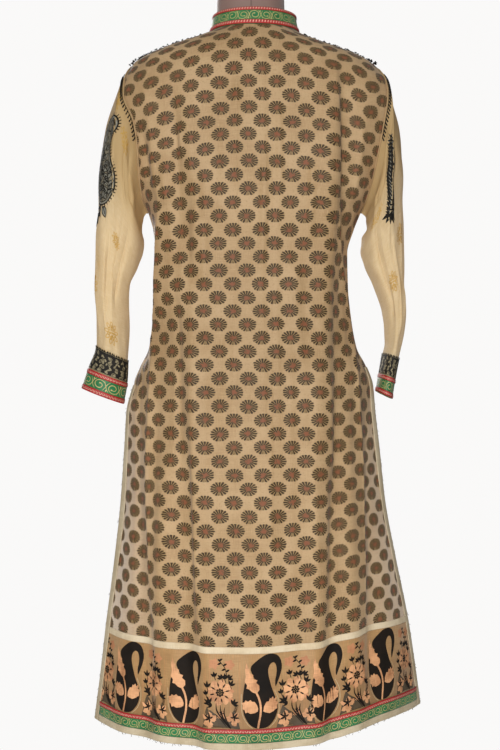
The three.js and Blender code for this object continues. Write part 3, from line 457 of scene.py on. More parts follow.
def waves(x, y, size_x, size_y, seed):
    """Smooth random undulation of about unit height, with crests of about these sizes."""
    random = np.random.default_rng(seed)
    total = 0
    for _ in range(WAVE_COUNT):
        way = random.uniform(0, 2 * math.pi)
        speed = random.uniform(0.5, 1.3)
        phase = random.uniform(0, 2 * math.pi)
        place = math.cos(way) * x / size_x + math.sin(way) * y / size_y
        total = total + np.cos(speed * place * math.pi + phase)
    return total * math.sqrt(2 / WAVE_COUNT) * 0.5


def crease(x, y, start, end, depth, width, sharp=False):
    """A crease along a straight line between two points, fading over its ends. sharp: with a crisp edge."""
    along = np.array(end) - np.array(start)
    length = np.linalg.norm(along)
    along = along / length
    share = ((x - start[0]) * along[0] + (y - start[1]) * along[1]) / length
    aside = (x - start[0]) * along[1] - (y - start[1]) * along[0]
    fade = smooth(share, 0, 0.25) * (1 - smooth(share, 0.75, 1))
    far = (aside / width) ** 2
    shape = np.exp(0.2 - np.sqrt(far + 0.04)) if sharp else np.exp(-0.5 * far)
    return depth * fade * shape


class Surface:
    """A fine grid over a cloth. place() puts flat coordinates, in metres across and up the cloth, on it."""

    def __init__(self, points, columns, ups, reach_low, reach_high, origin=0.0, inside_out=False):
        self.points, self.columns, self.ups = points, columns, np.asarray(ups, float)
        self.reach_low, self.reach_high = reach_low, reach_high
        self.origin, self.inside_out = origin, inside_out
        self.mirrored = inside_out != bool(self.ups[0] > self.ups[-1])  # flat shapes would face inward
        self.find_normals()

    def find_normals(self):
        rightwards = np.gradient(self.points, axis=1)
        upwards = np.gradient(self.points, axis=0)
        self.normals = unit(np.cross(rightwards, upwards)) * (-1 if self.inside_out else 1)

    def move(self, distance):
        """Moves the cloth out along its normals by these distances."""
        distance = np.broadcast_to(distance, self.points.shape[:2])
        self.points = self.points + self.normals * distance[..., None]
        self.find_normals()

    def across(self):
        """Each point's flat distance across, 0 at the origin."""
        share = self.columns[None, :] - self.origin
        return share * np.where(share < 0, self.reach_low[:, None], self.reach_high[:, None])

    def place(self, across, up, lift=0.0):
        """Points on the surface, lifted off it, at flat coordinates."""
        across, up = np.broadcast_arrays(np.asarray(across, float), np.asarray(up, float))
        order = np.argsort(self.ups)
        row = np.interp(up, self.ups[order], order.astype(float))
        low, high = (np.interp(row, np.arange(len(r)), r) for r in (self.reach_low, self.reach_high))
        share = self.origin + across / np.where(across < 0, low, high)
        column = np.interp(share, self.columns, np.arange(len(self.columns)))
        i = np.clip(row.astype(int), 0, len(self.ups) - 2)
        j = np.clip(column.astype(int), 0, len(self.columns) - 2)
        a, b = (row - i)[..., None], (column - j)[..., None]
        mixed = lambda grid: (
            grid[i, j] * (1 - a) * (1 - b)
            + grid[i + 1, j] * a * (1 - b)
            + grid[i, j + 1] * (1 - a) * b
            + grid[i + 1, j + 1] * a * b
        )
        return mixed(self.points) + unit(mixed(self.normals)) * np.asarray(lift)[..., None]


def panel_surface(panel, heights, columns):
    """A panel's surface at these heights and shares of its half widths."""
    points, across = panel.grid(heights, columns)
    return Surface(points, columns, heights, -across[:, 0], across[:, -1], inside_out=panel is front)


def sleeve_surface(sleeve, rings, turns):
    """A sleeve's surface. Its flat coordinates start from its origin turn and go down from the armhole."""
    points = sleeve.grid(rings, turns)
    girth = np.linalg.norm(np.diff(points, axis=1), axis=-1).sum(1)
    origin = int(np.argmin(abs(turns - SLEEVE_ORIGIN_TURN)))
    down = lengths(points[:, origin])
    inside_out = sleeve.sign > 0
    return Surface(points, turns / 360, -down, girth, girth, SLEEVE_ORIGIN_TURN / 360, inside_out)


# ---- Meshes --------------------------------------------------------------------------------------


def piece(name, points, faces, material, slot, cloth=None, soft=True):
    """A mesh piece that rides on the part. cloth: flat coordinates of its points, for its material."""
    mesh = bpy.data.meshes.new(name)
    mesh.from_pydata(np.asarray(points, float).tolist(), [], faces)
    if soft:
        mesh.shade_smooth()
    if cloth is not None:
        made = mesh.attributes.new("cloth", "FLOAT_VECTOR", "POINT")
        made.data.foreach_set("vector", np.asarray(cloth, np.float32).ravel())
    mesh.materials.append(material)
    made = bpy.data.objects.new(name, mesh)
    bpy.context.scene.collection.objects.link(made)
    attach(made, "root")
    return made


def grid_faces(row_count, column_count, ring=False, keep=None, flipped=False):
    """The faces of a grid of points. ring: its last column joins its first. keep: which faces to make."""
    cell_columns = column_count if ring else column_count - 1
    i, j = np.meshgrid(np.arange(row_count - 1), np.arange(cell_columns), indexing="ij")
    if keep is not None:
        i, j = i[keep], j[keep]
    next_j = (j + 1) % column_count
    corners = [i * column_count + j, i * column_count + next_j]
    corners += [(i + 1) * column_count + next_j, (i + 1) * column_count + j]
    if flipped:
        corners.reverse()
    return np.stack([c.ravel() for c in corners], 1).tolist()


def cloth_piece(name, surface, material, slot, third=0.0, keep=None, ring=False, ups=None):
    """The whole of a surface as one sheet. third: a value for each point that its material reads.
    ups: for each point, where the weave's rows really lie."""
    points, across = surface.points, surface.across()
    ups = surface.ups[:, None] + 0 * across if ups is None else ups
    thirds = third + 0 * across
    if ring:
        points, across, ups, thirds = (grid[:, :-1] for grid in (points, across, ups, thirds))
    cloth = np.stack([across, ups, thirds], -1).reshape(-1, 3)
    faces = grid_faces(*across.shape, ring, keep, flipped=surface.inside_out)
    return piece(name, points.reshape(-1, 3), faces, material, slot, cloth)


def strip(name, surface, acrosses, ups, lift, material, slot, thickness=TRIM):
    """A strip laid on a surface: a grid of flat coordinates, rows x columns, with real thickness."""
    acrosses, ups = np.broadcast_arrays(acrosses, ups)
    points = surface.place(acrosses, ups, lift + thickness)
    cloth = np.stack([acrosses, ups, 0 * ups], -1).reshape(-1, 3)
    faces = grid_faces(*acrosses.shape, flipped=surface.mirrored)
    made = piece(name, points.reshape(-1, 3), faces, material, slot, cloth)
    solid = made.modifiers.new("thickness", "SOLIDIFY")
    solid.thickness, solid.offset = thickness, -1
    return made


def spline(points, steps, closed=False):
    """A smooth line through points."""
    p = np.asarray(points, float)
    if closed:
        p = np.concatenate([p[-1:], p, p[:2]])
    else:
        p = np.concatenate([2 * p[:1] - p[1:2], p, 2 * p[-1:] - p[-2:-1]])
    t = np.linspace(0, 1, steps, endpoint=False)[:, None]
    line = []
    for a, b, c, d in zip(p, p[1:], p[2:], p[3:]):
        bend = (2 * a - 5 * b + 4 * c - d) * t**2
        line.append(0.5 * (2 * b + (c - a) * t + bend + (3 * b - a - 3 * c + d) * t**3))
    line = np.concatenate(line)
    return line if closed else np.concatenate([line, p[-2:-1]])


class Drawing:
    """Flat shapes in metres, which become one thin mesh laid on a surface."""

    CELL = 0.004  # the size of a filled shape's inner triangles
    DOT_SIDES = 7

    def __init__(self):
        self.points, self.faces = [], []

    def add(self, points, faces):
        start = len(self.points)
        self.points += [tuple(p) for p in points]
        self.faces += [[start + i for i in f] for f in faces]

    def fill(self, outline):
        """A closed outline, filled with small triangles that can follow a fold."""
        outline = np.asarray(outline, float)
        low, high = outline.min(0), outline.max(0)
        inner = np.zeros((0, 2))
        if (high - low).max() > 1.5 * self.CELL:
            xs = np.arange(low[0] + self.CELL / 2, high[0], self.CELL)
            ys = np.arange(low[1] + self.CELL / 2, high[1], self.CELL)
            inner = np.stack(np.meshgrid(xs, ys), -1).reshape(-1, 2)
        every = [Vector(p) for p in np.concatenate([outline, inner])]
        made = delaunay_2d_cdt(every, [], [list(range(len(outline)))], 1, 1e-7)
        self.add([tuple(p) for p in made[0]], made[2])

    def stroke(self, line, width, taper=0.0):
        """A ribbon along a line. taper: 1 where it narrows to a point at its ends, 0 where it doesn't."""
        line = np.asarray(line, float)
        along = unit(np.gradient(line, axis=0))
        aside = leftward(along)
        share = np.linspace(-1, 1, len(line))[:, None]
        half = width / 2 * (1 - taper * share**2)
        points = np.concatenate([line + aside * half, line - aside * half])
        n = len(line)
        self.add(points, [[i, i + n, i + n + 1, i + 1] for i in range(n - 1)])

    def dot(self, centre, radius):
        turn = np.linspace(0, 2 * math.pi, self.DOT_SIDES, endpoint=False)
        self.add(np.array(centre) + radius * circle(turn), [list(range(self.DOT_SIDES))])

    def leaf(self, base, angle, length, width, teeth=0):
        self.fill(leaf_outline(base, angle, length, width, teeth))

    def lay(self, name, surface, lift, material, slot, inside=None):
        """The drawing on a surface. inside(up): the least and most across, where shapes are cut off."""
        flat = np.array(self.points)
        if inside:
            flat[:, 0] = np.clip(flat[:, 0], *inside(flat[:, 1]))
        points = surface.place(flat[:, 0], flat[:, 1], lift)
        cloth = np.concatenate([flat, np.zeros((len(flat), 1))], 1)
        faces = [f[::-1] for f in self.faces] if surface.mirrored else self.faces
        return piece(name, points, faces, material, slot, cloth)


def leaf_outline(base, angle, length, width, teeth=0):
    """A pointed leaf from its base. angle: degrees from straight up. teeth: notches down each side."""
    count = max(8, 2 * teeth)
    t = np.linspace(0, 1, count + 1)
    half = width / 2 * np.maximum(np.sin(math.pi * t**0.8), 0) ** 0.8
    if teeth:
        half = half * np.where(np.arange(count + 1) % 2, 0.78, 1.08)
    side = np.stack([half, t * length], -1)
    other = np.stack([-half, t * length], -1)[-2:0:-1]
    return turned(np.concatenate([side, other]), angle) + np.array(base)


def turned(points, angle):
    """Flat points turned clockwise by an angle in degrees."""
    a = math.radians(angle)
    x, y = np.asarray(points, float).T
    return np.stack([x * math.cos(a) + y * math.sin(a), y * math.cos(a) - x * math.sin(a)], -1)


def tube(points, radius, sides):
    """Points and faces of a closed tube along a line of points."""
    points = np.asarray(points, float)
    along = unit(np.gradient(points, axis=0))
    helper = np.where(np.abs(along[:, 2:3]) < 0.8, [[0, 0, 1.0]], [[1.0, 0, 0]])
    side = unit(np.cross(along, helper))
    other = np.cross(along, side)
    turn = np.linspace(0, 2 * math.pi, sides, endpoint=False)
    radius = np.broadcast_to(radius, (len(points),))[:, None, None]
    ring = side[:, None] * np.cos(turn)[:, None] + other[:, None] * np.sin(turn)[:, None]
    rings = points[:, None] + ring * radius
    faces = grid_faces(len(points), sides, ring=True)
    faces += [list(range(sides))[::-1], [(len(points) - 1) * sides + i for i in range(sides)]]
    return rings.reshape(-1, 3), faces


def tubes(name, parts, material, slot):
    """Several (points, faces) as one piece."""
    points, faces, start = [], [], 0
    for p, f in parts:
        points.append(np.asarray(p, float))
        faces += [[start + i for i in face] for face in f]
        start += len(p)
    return piece(name, np.concatenate(points), faces, material, slot)


def lathe(profile, segments, middle):
    """Points and faces of a turned shape. profile: (radius, z) from its axis to its axis."""
    profile = np.array(profile, float)
    ring = circle(np.linspace(0, 2 * math.pi, segments, endpoint=False))
    levels = [np.concatenate([r * ring + middle, np.full((segments, 1), z)], 1) for r, z in profile]
    return np.concatenate(levels), grid_faces(len(profile), segments, ring=True)


def toward(angle, distance):
    """The flat step of a distance, angle degrees clockwise from straight up."""
    return turned([(0, distance)], angle)[0]


def closed_line(points):
    return np.concatenate([points, points[:1]])


# ---- Materials -----------------------------------------------------------------------------------


def paint(red, green, blue):
    """A colour of 0-255 screen values as Blender's linear one."""
    line = lambda c: c / 12.92 if c <= 0.04045 else ((c + 0.055) / 1.055) ** 2.4
    return (line(red / 255), line(green / 255), line(blue / 255), 1.0)


def arithmetic(operation):
    return lambda first, *second: first.shade.math(operation, first, *second)


class Value:
    """A node's output. Arithmetic with it adds the nodes for that."""

    def __init__(self, shade, socket):
        self.shade, self.socket = shade, socket

    def __rsub__(self, number):
        return self.shade.math("SUBTRACT", number, self)

    __add__ = arithmetic("ADD")
    __sub__ = arithmetic("SUBTRACT")
    __mul__ = arithmetic("MULTIPLY")
    __truediv__ = arithmetic("DIVIDE")
    __abs__ = arithmetic("ABSOLUTE")
    __round__ = arithmetic("ROUND")


class Shade:
    """A material, built by calls that add a node and give back its output."""

    def __init__(self, name):
        self.material = bpy.data.materials.new(name)
        self.material.use_nodes = True
        self.tree = self.material.node_tree
        self.tree.nodes.clear()

    def node(self, kind, inputs=None, **settings):
        """A new node. inputs: a number, a colour or a Value for each socket."""
        made = self.tree.nodes.new("ShaderNode" + kind)
        for key, value in settings.items():
            setattr(made, key, value)
        for key, value in (inputs or {}).items():
            if isinstance(value, Value):
                self.tree.links.new(value.socket, made.inputs[key])
            else:
                made.inputs[key].default_value = value
        return made

    def value(self, kind, inputs=None, output=0, **settings):
        return Value(self, self.node(kind, inputs, **settings).outputs[output])

    def math(self, operation, *values):
        return self.value("Math", dict(enumerate(values)), operation=operation)

    def parts(self, vector):
        return [Value(self, socket) for socket in self.node("SeparateXYZ", {0: vector}).outputs]

    def cloth(self):
        """The cloth's flat coordinates: across, up, and the piece's third value."""
        return self.parts(self.value("Attribute", output="Vector", attribute_name="cloth"))

    def place(self):
        """The place in the part's own frame."""
        return self.value("TexCoord", output="Object")

    def at(self, x, y):
        return self.value("CombineXYZ", {0: x, 1: y})

    def noise(self, vector, scale, detail=2.0, roughness=0.5):
        inputs = {"Vector": vector, "Scale": scale, "Detail": detail, "Roughness": roughness}
        return self.value("TexNoise", inputs)

    def between(self, value, low, high, new_low=0.0, new_high=1.0):
        """value on a soft step from low to high."""
        inputs = {0: value, 1: low, 2: high, 3: new_low, 4: new_high}
        return self.value("MapRange", inputs, interpolation_type="SMOOTHSTEP")

    def mix(self, share, first, second):
        return self.value("Mix", {0: share, 6: first, 7: second}, output=2, data_type="RGBA")

    def streaks(self, across, up, across_scale, up_scale):
        """Noise drawn out along the direction of the smaller scale."""
        return self.noise(self.at(across * across_scale, up * up_scale), 1.0)

    def slubs(self, across, up):
        """Uneven threads both ways, about 0.5 on average."""
        warp = self.streaks(across, up, 1400, 60)
        weft = self.streaks(across, up, 50, 1300)
        return (warp + weft) * 0.5

    def finish(self, colour, roughness, height=None, depth=0.0, glow=0.0, hole=None, **own):
        """Ends the tree. height, depth: bump and its size in metres. glow: the share of light let through.
        hole: where it is see-through, a number or a Value. own: the shader's other sockets."""
        inputs = {"Base Color": colour, "Roughness": roughness}
        inputs.update({key.replace("_", " "): value for key, value in own.items()})
        normal = {}
        if height is not None:
            bump = self.value("Bump", {"Height": height, "Distance": depth, "Strength": 1.0})
            normal = {"Normal": bump}
        shader = self.value("BsdfPrincipled", {**inputs, **normal})
        if glow:
            through = self.value("BsdfTranslucent", {"Color": colour, **normal})
            shader = self.value("MixShader", {0: glow, 1: shader, 2: through})
        if hole is not None:
            clear = self.value("BsdfTransparent")
            shader = self.value("MixShader", {0: hole, 1: shader, 2: clear})
        self.node("OutputMaterial", {0: shader})
        return self.material


WEAVE_DEPTH = 0.00012  # bump of a fine weave
THREAD_DEPTH = 0.0002  # bump of embroidery thread
KNIT_PITCH = 0.0011


def buti_silk():
    """Beige silk with woven chrysanthemum rosettes in half-drop rows."""
    m = Shade("buti_silk")
    across, up, sheer = m.cloth()
    flat = m.at(across, up)
    # Which rosette, and where in it: u and v are 1 at its edge.
    sway = m.noise(flat, 14.0, 1.0) - 0.5
    swing = m.noise(m.at(up, across), 14.0, 1.0) - 0.5
    row_place = (swing * 0.005 + (up - ROSETTE_UP)) / ROSETTE_ROW
    row = round(row_place)
    shift = m.math("FLOORED_MODULO", row, 2.0) * 0.5
    column_place = (sway * 0.008 + (across - ROSETTE_ACROSS)) / ROSETTE_PITCH + shift
    column = round(column_place)
    u = (column_place - column) * (ROSETTE_PITCH / ROSETTE_HALF_WIDTH)
    v = (row_place - row) * (ROSETTE_ROW / ROSETTE_HALF_HEIGHT)
    wobble = m.noise(flat, 330.0, 1.0) - 0.5
    radius = wobble * 0.32 + m.math("SQRT", u * u + v * v)
    turn = wobble * 0.35 + m.math("ARCTAN2", v, u) / (2 * math.pi / ROSETTE_PETALS)
    aside = abs(turn - round(turn))  # 0 in a petal's middle, 0.5 between two
    # Dark petals with gaps between them, a lighter heart and a notch below.
    inside = m.between(1.04 - aside * aside * 0.75 - radius, -0.05, 0.05)
    gap = m.between(aside, 0.27, 0.40) * m.between(radius, 0.34, 0.66, 0.36, 0.96)
    notch = m.between(abs(u), 0.07, 0.02) * m.between(v, -0.40, -0.55)
    gap = m.math("MAXIMUM", gap, notch)
    star = wobble * 0.60 + radius
    heart = m.between(star, 0.42, 0.24) * inside
    dark = inside * (1.0 - gap) * m.between(star, 0.20, 0.44, 0.12, 1.0)
    bloom = m.between(radius, 1.12, 0.90)

    slubs = m.slubs(across, up)
    patches = m.noise(flat, 14.0, 3.0)
    mottle = m.noise(flat, 260.0, 3.0, 0.7)
    ground = m.mix(m.between(patches, 0.3, 0.7), GROUND_DEEP, GROUND_PALE)
    for share, colour in (
        (m.between(slubs, 0.45, 0.65), GROUND_PALE),
        (m.between(slubs, 0.42, 0.28, 0.0, 0.55), GROUND_SLUB),
        (m.between(mottle, 0.50, 0.70, 0.0, 0.75), GROUND_DEEP),
        (m.between(mottle, 0.38, 0.25, 0.0, 0.60), GROUND_SLUB),
        (bloom * 0.62, ROSETTE_VEIL),
        (heart * 0.85, ROSETTE_HEART),
        (dark * m.between(slubs, 0.2, 0.5, 0.82, 0.98), ROSETTE_DARK),
    ):
        ground = m.mix(share, ground, colour)
    height = slubs + (dark + heart) * 0.6
    hole = (1.0 - bloom) * sheer
    rough = m.between(slubs, 0.3, 0.7, 0.55, 0.72)
    own = {"Sheen_Weight": 0.10, "Specular_IOR_Level": 0.35}
    return m.finish(ground, rough, height, WEAVE_DEPTH, glow=0.18, hole=hole, **own)


def sheer_cloth():
    """The sleeves' and front's sheer cloth. Its third value is 1 where the yoke backs it."""
    m = Shade("plain_cloth")
    across, up, yoke = m.cloth()
    slubs = m.slubs(across, up)
    patches = m.noise(m.place(), 30.0, 3.0, 0.6)
    worn = patches * 0.25 + slubs * 0.75
    colour = m.mix(m.between(worn, 0.36, 0.62), SHEER_DEEP, SHEER_PALE)
    colour = m.mix(yoke * 0.85, colour, SHEER_YOKE)
    hole = m.between(yoke, 0.0, 1.0, 0.24, 0.10)
    rough = m.between(slubs, 0.3, 0.7, 0.68, 0.82)
    return m.finish(colour, rough, slubs, WEAVE_DEPTH, glow=0.40, hole=hole)


def border_silk():
    """The border's beige-gold satin ground, with peach and cream breaks."""
    m = Shade("border_silk")
    across, up, _ = m.cloth()
    slubs = m.slubs(across, up)
    breaks = m.noise(m.at(across, up), 22.0, 4.0, 0.6)
    streaks = m.streaks(across, up, 420.0, 9.0)
    rise = m.between(up, BORDER_FOOT_Z, BORDER_SEAM_Z) * 0.30 + breaks * 0.8
    colour = m.mix(m.between(rise, 0.34, 0.72), BORDER_DEEP, BORDER_PALE)
    colour = m.mix(m.between(streaks, 0.45, 0.75, 0.0, 0.5), colour, BORDER_PEACH)
    colour = m.mix(m.between(slubs, 0.36, 0.6, 0.0, 0.55), colour, BORDER_DEEP)
    colour = m.mix(m.between(slubs, 0.42, 0.30, 0.0, 0.45), colour, BORDER_PALE)
    rough = m.between(streaks, 0.3, 0.7, 0.42, 0.62)
    return m.finish(colour, rough, slubs, WEAVE_DEPTH, glow=0.08, Sheen_Weight=0.2)


def woven(name, pale, deep, roughness, hole=None, depth=WEAVE_DEPTH, **own):
    """Cloth of uneven threads in two close colours, with faint larger patches."""
    m = Shade(name)
    across, up, _ = m.cloth()
    slubs = m.slubs(across, up)
    patches = m.noise(m.place(), 30.0, 3.0, 0.6)
    colour = m.mix(m.between((slubs + patches) * 0.5, 0.36, 0.62), paint(*deep), paint(*pale))
    rough = m.between(slubs, 0.3, 0.7, roughness - 0.07, roughness + 0.07)
    return m.finish(colour, rough, slubs, depth, hole=hole, **own)


def thread(name, pale, deep, roughness=0.6, **own):
    """Embroidery thread: fine twisted strands, with painted sheen on their tops and painted shade between.
    """
    m = Shade(name)
    strands = m.noise(m.place(), 1500.0, 2.0, 0.6)
    clumps = m.noise(m.place(), 160.0, 2.0)
    # painted sheen and shade: the colour is pale where the strands stand up and deep between them, and
    # clumps add uneven tone
    colour = m.mix(m.between(strands + clumps * 0.5, 0.5, 1.0), paint(*deep), paint(*pale))
    rough = m.between(strands, 0.3, 0.7, roughness - 0.1, roughness + 0.1)
    return m.finish(colour, rough, strands, THREAD_DEPTH, **own)


def form_cover():
    """The form's brown jersey, with its centre seam."""
    m = Shade("form_cover")
    place = m.place()
    x, _, z = m.parts(place)
    knit = m.math("SINE", x * (2 * math.pi / KNIT_PITCH)) * m.math("SINE", z * (2 * math.pi / KNIT_PITCH))
    patches = m.noise(place, 9.0, 3.0)
    seam = m.between(abs(x + 0.004), 0.0016, 0.0004)
    colour = m.mix(m.between(patches, 0.35, 0.65), FORM_DEEP, FORM_PALE)
    colour = m.mix(seam * 0.35, colour, paint(0, 0, 0))
    rough = m.between(patches, 0.3, 0.7, 0.5, 0.62)
    return m.finish(colour, rough, knit * 0.2 - seam, 0.0004, Sheen_Weight=0.2)


def stand_metal():
    """Black powder-coated steel, with rubbed patches and small pits."""
    m = Shade("stand_metal")
    grain = m.noise(m.place(), 900.0, 2.0)
    rubbed = m.noise(m.place(), 25.0, 4.0, 0.65)
    colour = m.mix(m.between(rubbed, 0.5, 0.75), paint(30, 30, 32), paint(58, 57, 56))
    rough = m.between(rubbed, 0.35, 0.7, 0.48, 0.3)
    return m.finish(colour, rough, grain, 0.00008, Metallic=0.6)


# ---- Colours and materials -----------------------------------------------------------------------

GROUND_PALE = paint(203, 171, 129)
GROUND_DEEP = paint(182, 148, 105)
GROUND_SLUB = paint(140, 108, 70)
SHEER_PALE = paint(246, 222, 174)
SHEER_DEEP = paint(230, 200, 146)
SHEER_YOKE = paint(204, 172, 118)
ROSETTE_DARK = paint(56, 37, 16)
ROSETTE_HEART = paint(146, 78, 52)
ROSETTE_VEIL = paint(150, 124, 74)
BORDER_PALE = paint(190, 150, 98)
BORDER_DEEP = paint(152, 114, 70)
BORDER_PEACH = paint(208, 146, 94)
FORM_PALE = paint(152, 122, 110)
FORM_DEEP = paint(132, 105, 95)

SILK = buti_silk()
BORDER = border_silk()
PLAIN = sheer_cloth()
BINDING = woven("binding", (206, 190, 160), (182, 164, 132), 0.8, depth=THREAD_DEPTH)
CORD = woven("armhole_cord", (178, 148, 106), (148, 120, 82), 0.8, depth=THREAD_DEPTH)
TAPE = woven("pale_tape", (228, 210, 178), (206, 184, 148), 0.75, depth=THREAD_DEPTH)
GREEN = woven("braid", (30, 126, 70), (20, 92, 48), 0.5, depth=THREAD_DEPTH, Sheen_Weight=0.1)
RED = thread("braid_red", (188, 36, 34), (140, 20, 24))
GOLD = thread("gold_thread", (214, 196, 132), (172, 154, 94), 0.45)
YELLOW = thread("yellow_gold", (216, 174, 78), (180, 138, 52), 0.45, glow=0.35)
BLACK = thread("embroidery", (34, 30, 24), (18, 16, 12), 0.8, Specular_IOR_Level=0.2)
GREY = thread("grey_thread", (146, 142, 128), (108, 106, 94), 0.7)
ASH = thread("ash_thread", (158, 146, 114), (114, 104, 78), 0.7)
NET = woven("net", (134, 126, 106), (98, 92, 76), 0.8, hole=0.10)
NET_DARK = woven("dark_net", (42, 39, 34), (24, 22, 18), 0.85, Specular_IOR_Level=0.3)
PICOT = thread("picot", (244, 194, 172), (216, 150, 128), 0.6)
FIGURE = woven("black_figure", (34, 25, 17), (18, 13, 8), 0.75, Specular_IOR_Level=0.2)
ROSE = woven("rose_figure", (204, 142, 98), (176, 116, 76), 0.6)
PALE_LINE = woven("pale_line", (206, 186, 148), (186, 164, 124), 0.6)
FRAY = thread("fray", (126, 110, 84), (84, 72, 54), 0.8)
PEACH = woven("peach_motif", (234, 174, 124), (166, 112, 72), 0.55)
WEDGE = woven("hill_motif", (92, 74, 50), (62, 50, 34), 0.65)
COVER = form_cover()
METAL = stand_metal()

# ---- The cloths' surfaces ------------------------------------------------------------------------


INWARD = -0.0003  # the cloths' faces lie this far under the solids' own


def levels(*stops):
    """Heights from stop to stop, with how many of them between each two stops."""
    spans = zip(stops[::2], stops[2::2], stops[1::2])
    return np.concatenate([stops[:1]] + [np.linspace(*span)[1:] for span in spans])


def loose_part(surface, up):
    """1 where a panel's cloth is free to move, 0 at its side edges and its neck."""
    return smooth(1 - np.abs(surface.columns), 0, 0.07)[None, :] * (1 - smooth(up, 1.37, NECK_Z))


def back_surface():
    """The whole back, from hem to neck, with its drape, small creases and sharp fold edges."""
    heights = levels(HEM_Z, 66, BORDER_SEAM_Z, 240, UNDERARM_Z, 84, SHOULDER_TIP_Z, 36, NECK_Z)
    surface = panel_surface(back, heights, np.linspace(-1, 1, 241))
    x, across = surface.points[..., 0], surface.across()
    up = surface.ups[:, None] + 0 * across
    loose = loose_part(surface, up)
    low = 1 - smooth(up, 0.50, 1.00)
    above_border = smooth(up, 0.42, 0.60)
    move = 0.0010 * waves(across, up, 0.050, 0.400, 1) + 0.0007 * waves(across, up, 0.018, 0.090, 2)
    move += 0.0016 * low * waves(across, up, 0.036, 0.500, 3)
    move += 0.0006 * above_border * waves(across, up, 0.011, 0.300, 4)
    for middle in (-0.027, 0.026):
        move += 0.0010 * above_border * np.exp(-0.5 * ((x - middle) / 0.0014) ** 2)
    for top, foot, depth in ((-0.112, -0.078, 0.0030), (0.126, 0.106, 0.0016)):
        line = top + (foot - top) * (1.1 - up) / 0.85
        aside = (x - line) * (1 if top < 0 else -1)
        move += depth * low * above_border * fold_shape(aside, 0.0045, 1)
    for sign, table in ((-1, LEFT_EDGE_FOLD), (1, RIGHT_EDGE_FOLD)):
        aside = (x - at(table, "x", up)) * sign
        far = np.sqrt(aside**2 + 0.0012**2)
        beyond = 1.9 * np.exp(-far / 0.0105) - 0.9 * np.exp(-far / 0.030)
        move += at(table, "depth", up) * np.where(aside > 0, beyond, np.exp(-far / 0.026))
    for start, end, depth, width in BACK_CREASES:
        move += crease(across, up, start, end, depth, width)
    surface.move(move * loose + INWARD)
    return surface


# The deep folds near both sides, beyond which the cloth turns away.
LEFT_EDGE_FOLD = rows(
    "z x depth", (0.300, -0.150, 0.0000), (0.455, -0.150, 0.0060), (0.570, -0.157, 0.0120),
    (0.710, -0.163, 0.0140), (0.820, -0.160, 0.0120), (0.900, -0.157, 0.0100), (0.980, -0.152, 0.0090),
    (1.060, -0.150, 0.0080), (1.130, -0.147, 0.0070), (1.184, -0.152, 0.0050), (1.240, -0.154, 0.0000),
)
RIGHT_EDGE_FOLD = rows(
    "z x depth", (0.300, 0.171, 0.0000), (0.455, 0.171, 0.0060), (0.560, 0.168, 0.0110),
    (0.710, 0.165, 0.0130), (0.820, 0.160, 0.0120), (0.900, 0.153, 0.0110), (0.960, 0.144, 0.0105),
    (1.018, 0.136, 0.0100), (1.090, 0.1265, 0.0100), (1.140, 0.1265, 0.0100), (1.200, 0.1275, 0.0090),
    (1.297, 0.1275, 0.0060), (1.345, 0.1275, 0.0000),
)
BACK_CREASES = (
    ((-0.168, 1.262), (-0.160, 1.130), 0.0034, 0.0045),
    ((-0.186, 1.240), (-0.172, 1.150), -0.0028, 0.0050),
    ((0.178, 1.262), (0.170, 1.120), 0.0030, 0.0045),
    ((-0.027, 1.318), (-0.026, 1.270), 0.0019, 0.0028),
    ((0.017, 1.212), (0.019, 1.030), 0.0027, 0.0050),
    ((-0.087, 1.178), (-0.085, 1.078), 0.0029, 0.0045),
    ((-0.117, 1.240), (-0.114, 1.190), 0.0025, 0.0035),
    ((-0.074, 1.106), (-0.072, 0.990), 0.0029, 0.0050),
    ((-0.145, 1.180), (-0.141, 1.120), 0.0027, 0.0038),
    ((0.038, 1.290), (0.041, 1.130), 0.0019, 0.0032),
    ((0.090, 1.200), (0.088, 1.060), 0.0027, 0.0045),
    ((0.066, 1.040), (0.070, 0.860), 0.0027, 0.0055),
    ((-0.038, 0.960), (-0.044, 0.760), 0.0029, 0.0060),
    ((0.020, 0.820), (0.024, 0.560), 0.0030, 0.0070),
    ((-0.060, 0.740), (-0.066, 0.520), 0.0034, 0.0065),
    ((0.086, 0.780), (0.094, 0.540), 0.0034, 0.0065),
    ((-0.128, 0.900), (-0.136, 0.700), 0.0034, 0.0055),
    ((0.118, 0.880), (0.128, 0.690), 0.0030, 0.0055),
    ((-0.16, 1.06), (-0.03, 0.985), 0.0016, 0.005),
    ((-0.15, 0.99), (-0.02, 0.955), 0.0012, 0.004),
    ((0.16, 1.07), (0.04, 1.00), 0.0016, 0.005),
    ((0.17, 1.13), (0.05, 1.09), 0.0013, 0.005),
    ((0.15, 0.95), (0.02, 0.93), 0.0011, 0.004),
    ((0.05, 1.05), (0.12, 0.90), 0.0012, 0.005),
    ((-0.06, 0.93), (-0.15, 0.84), 0.0014, 0.005),
)


def front_surface():
    """The whole front, with its small waves."""
    heights = levels(HEM_Z, 190, UNDERARM_Z, 60, SHOULDER_TIP_Z, 26, NECK_Z)
    surface = panel_surface(front, heights, np.linspace(-1, 1, 221))
    across, up = surface.across(), surface.ups[:, None]
    loose = loose_part(surface, up)
    move = 0.0010 * waves(across, up, 0.050, 0.300, 11) + 0.0005 * waves(across, up, 0.020, 0.080, 12)
    surface.move(move * loose + INWARD)
    return surface


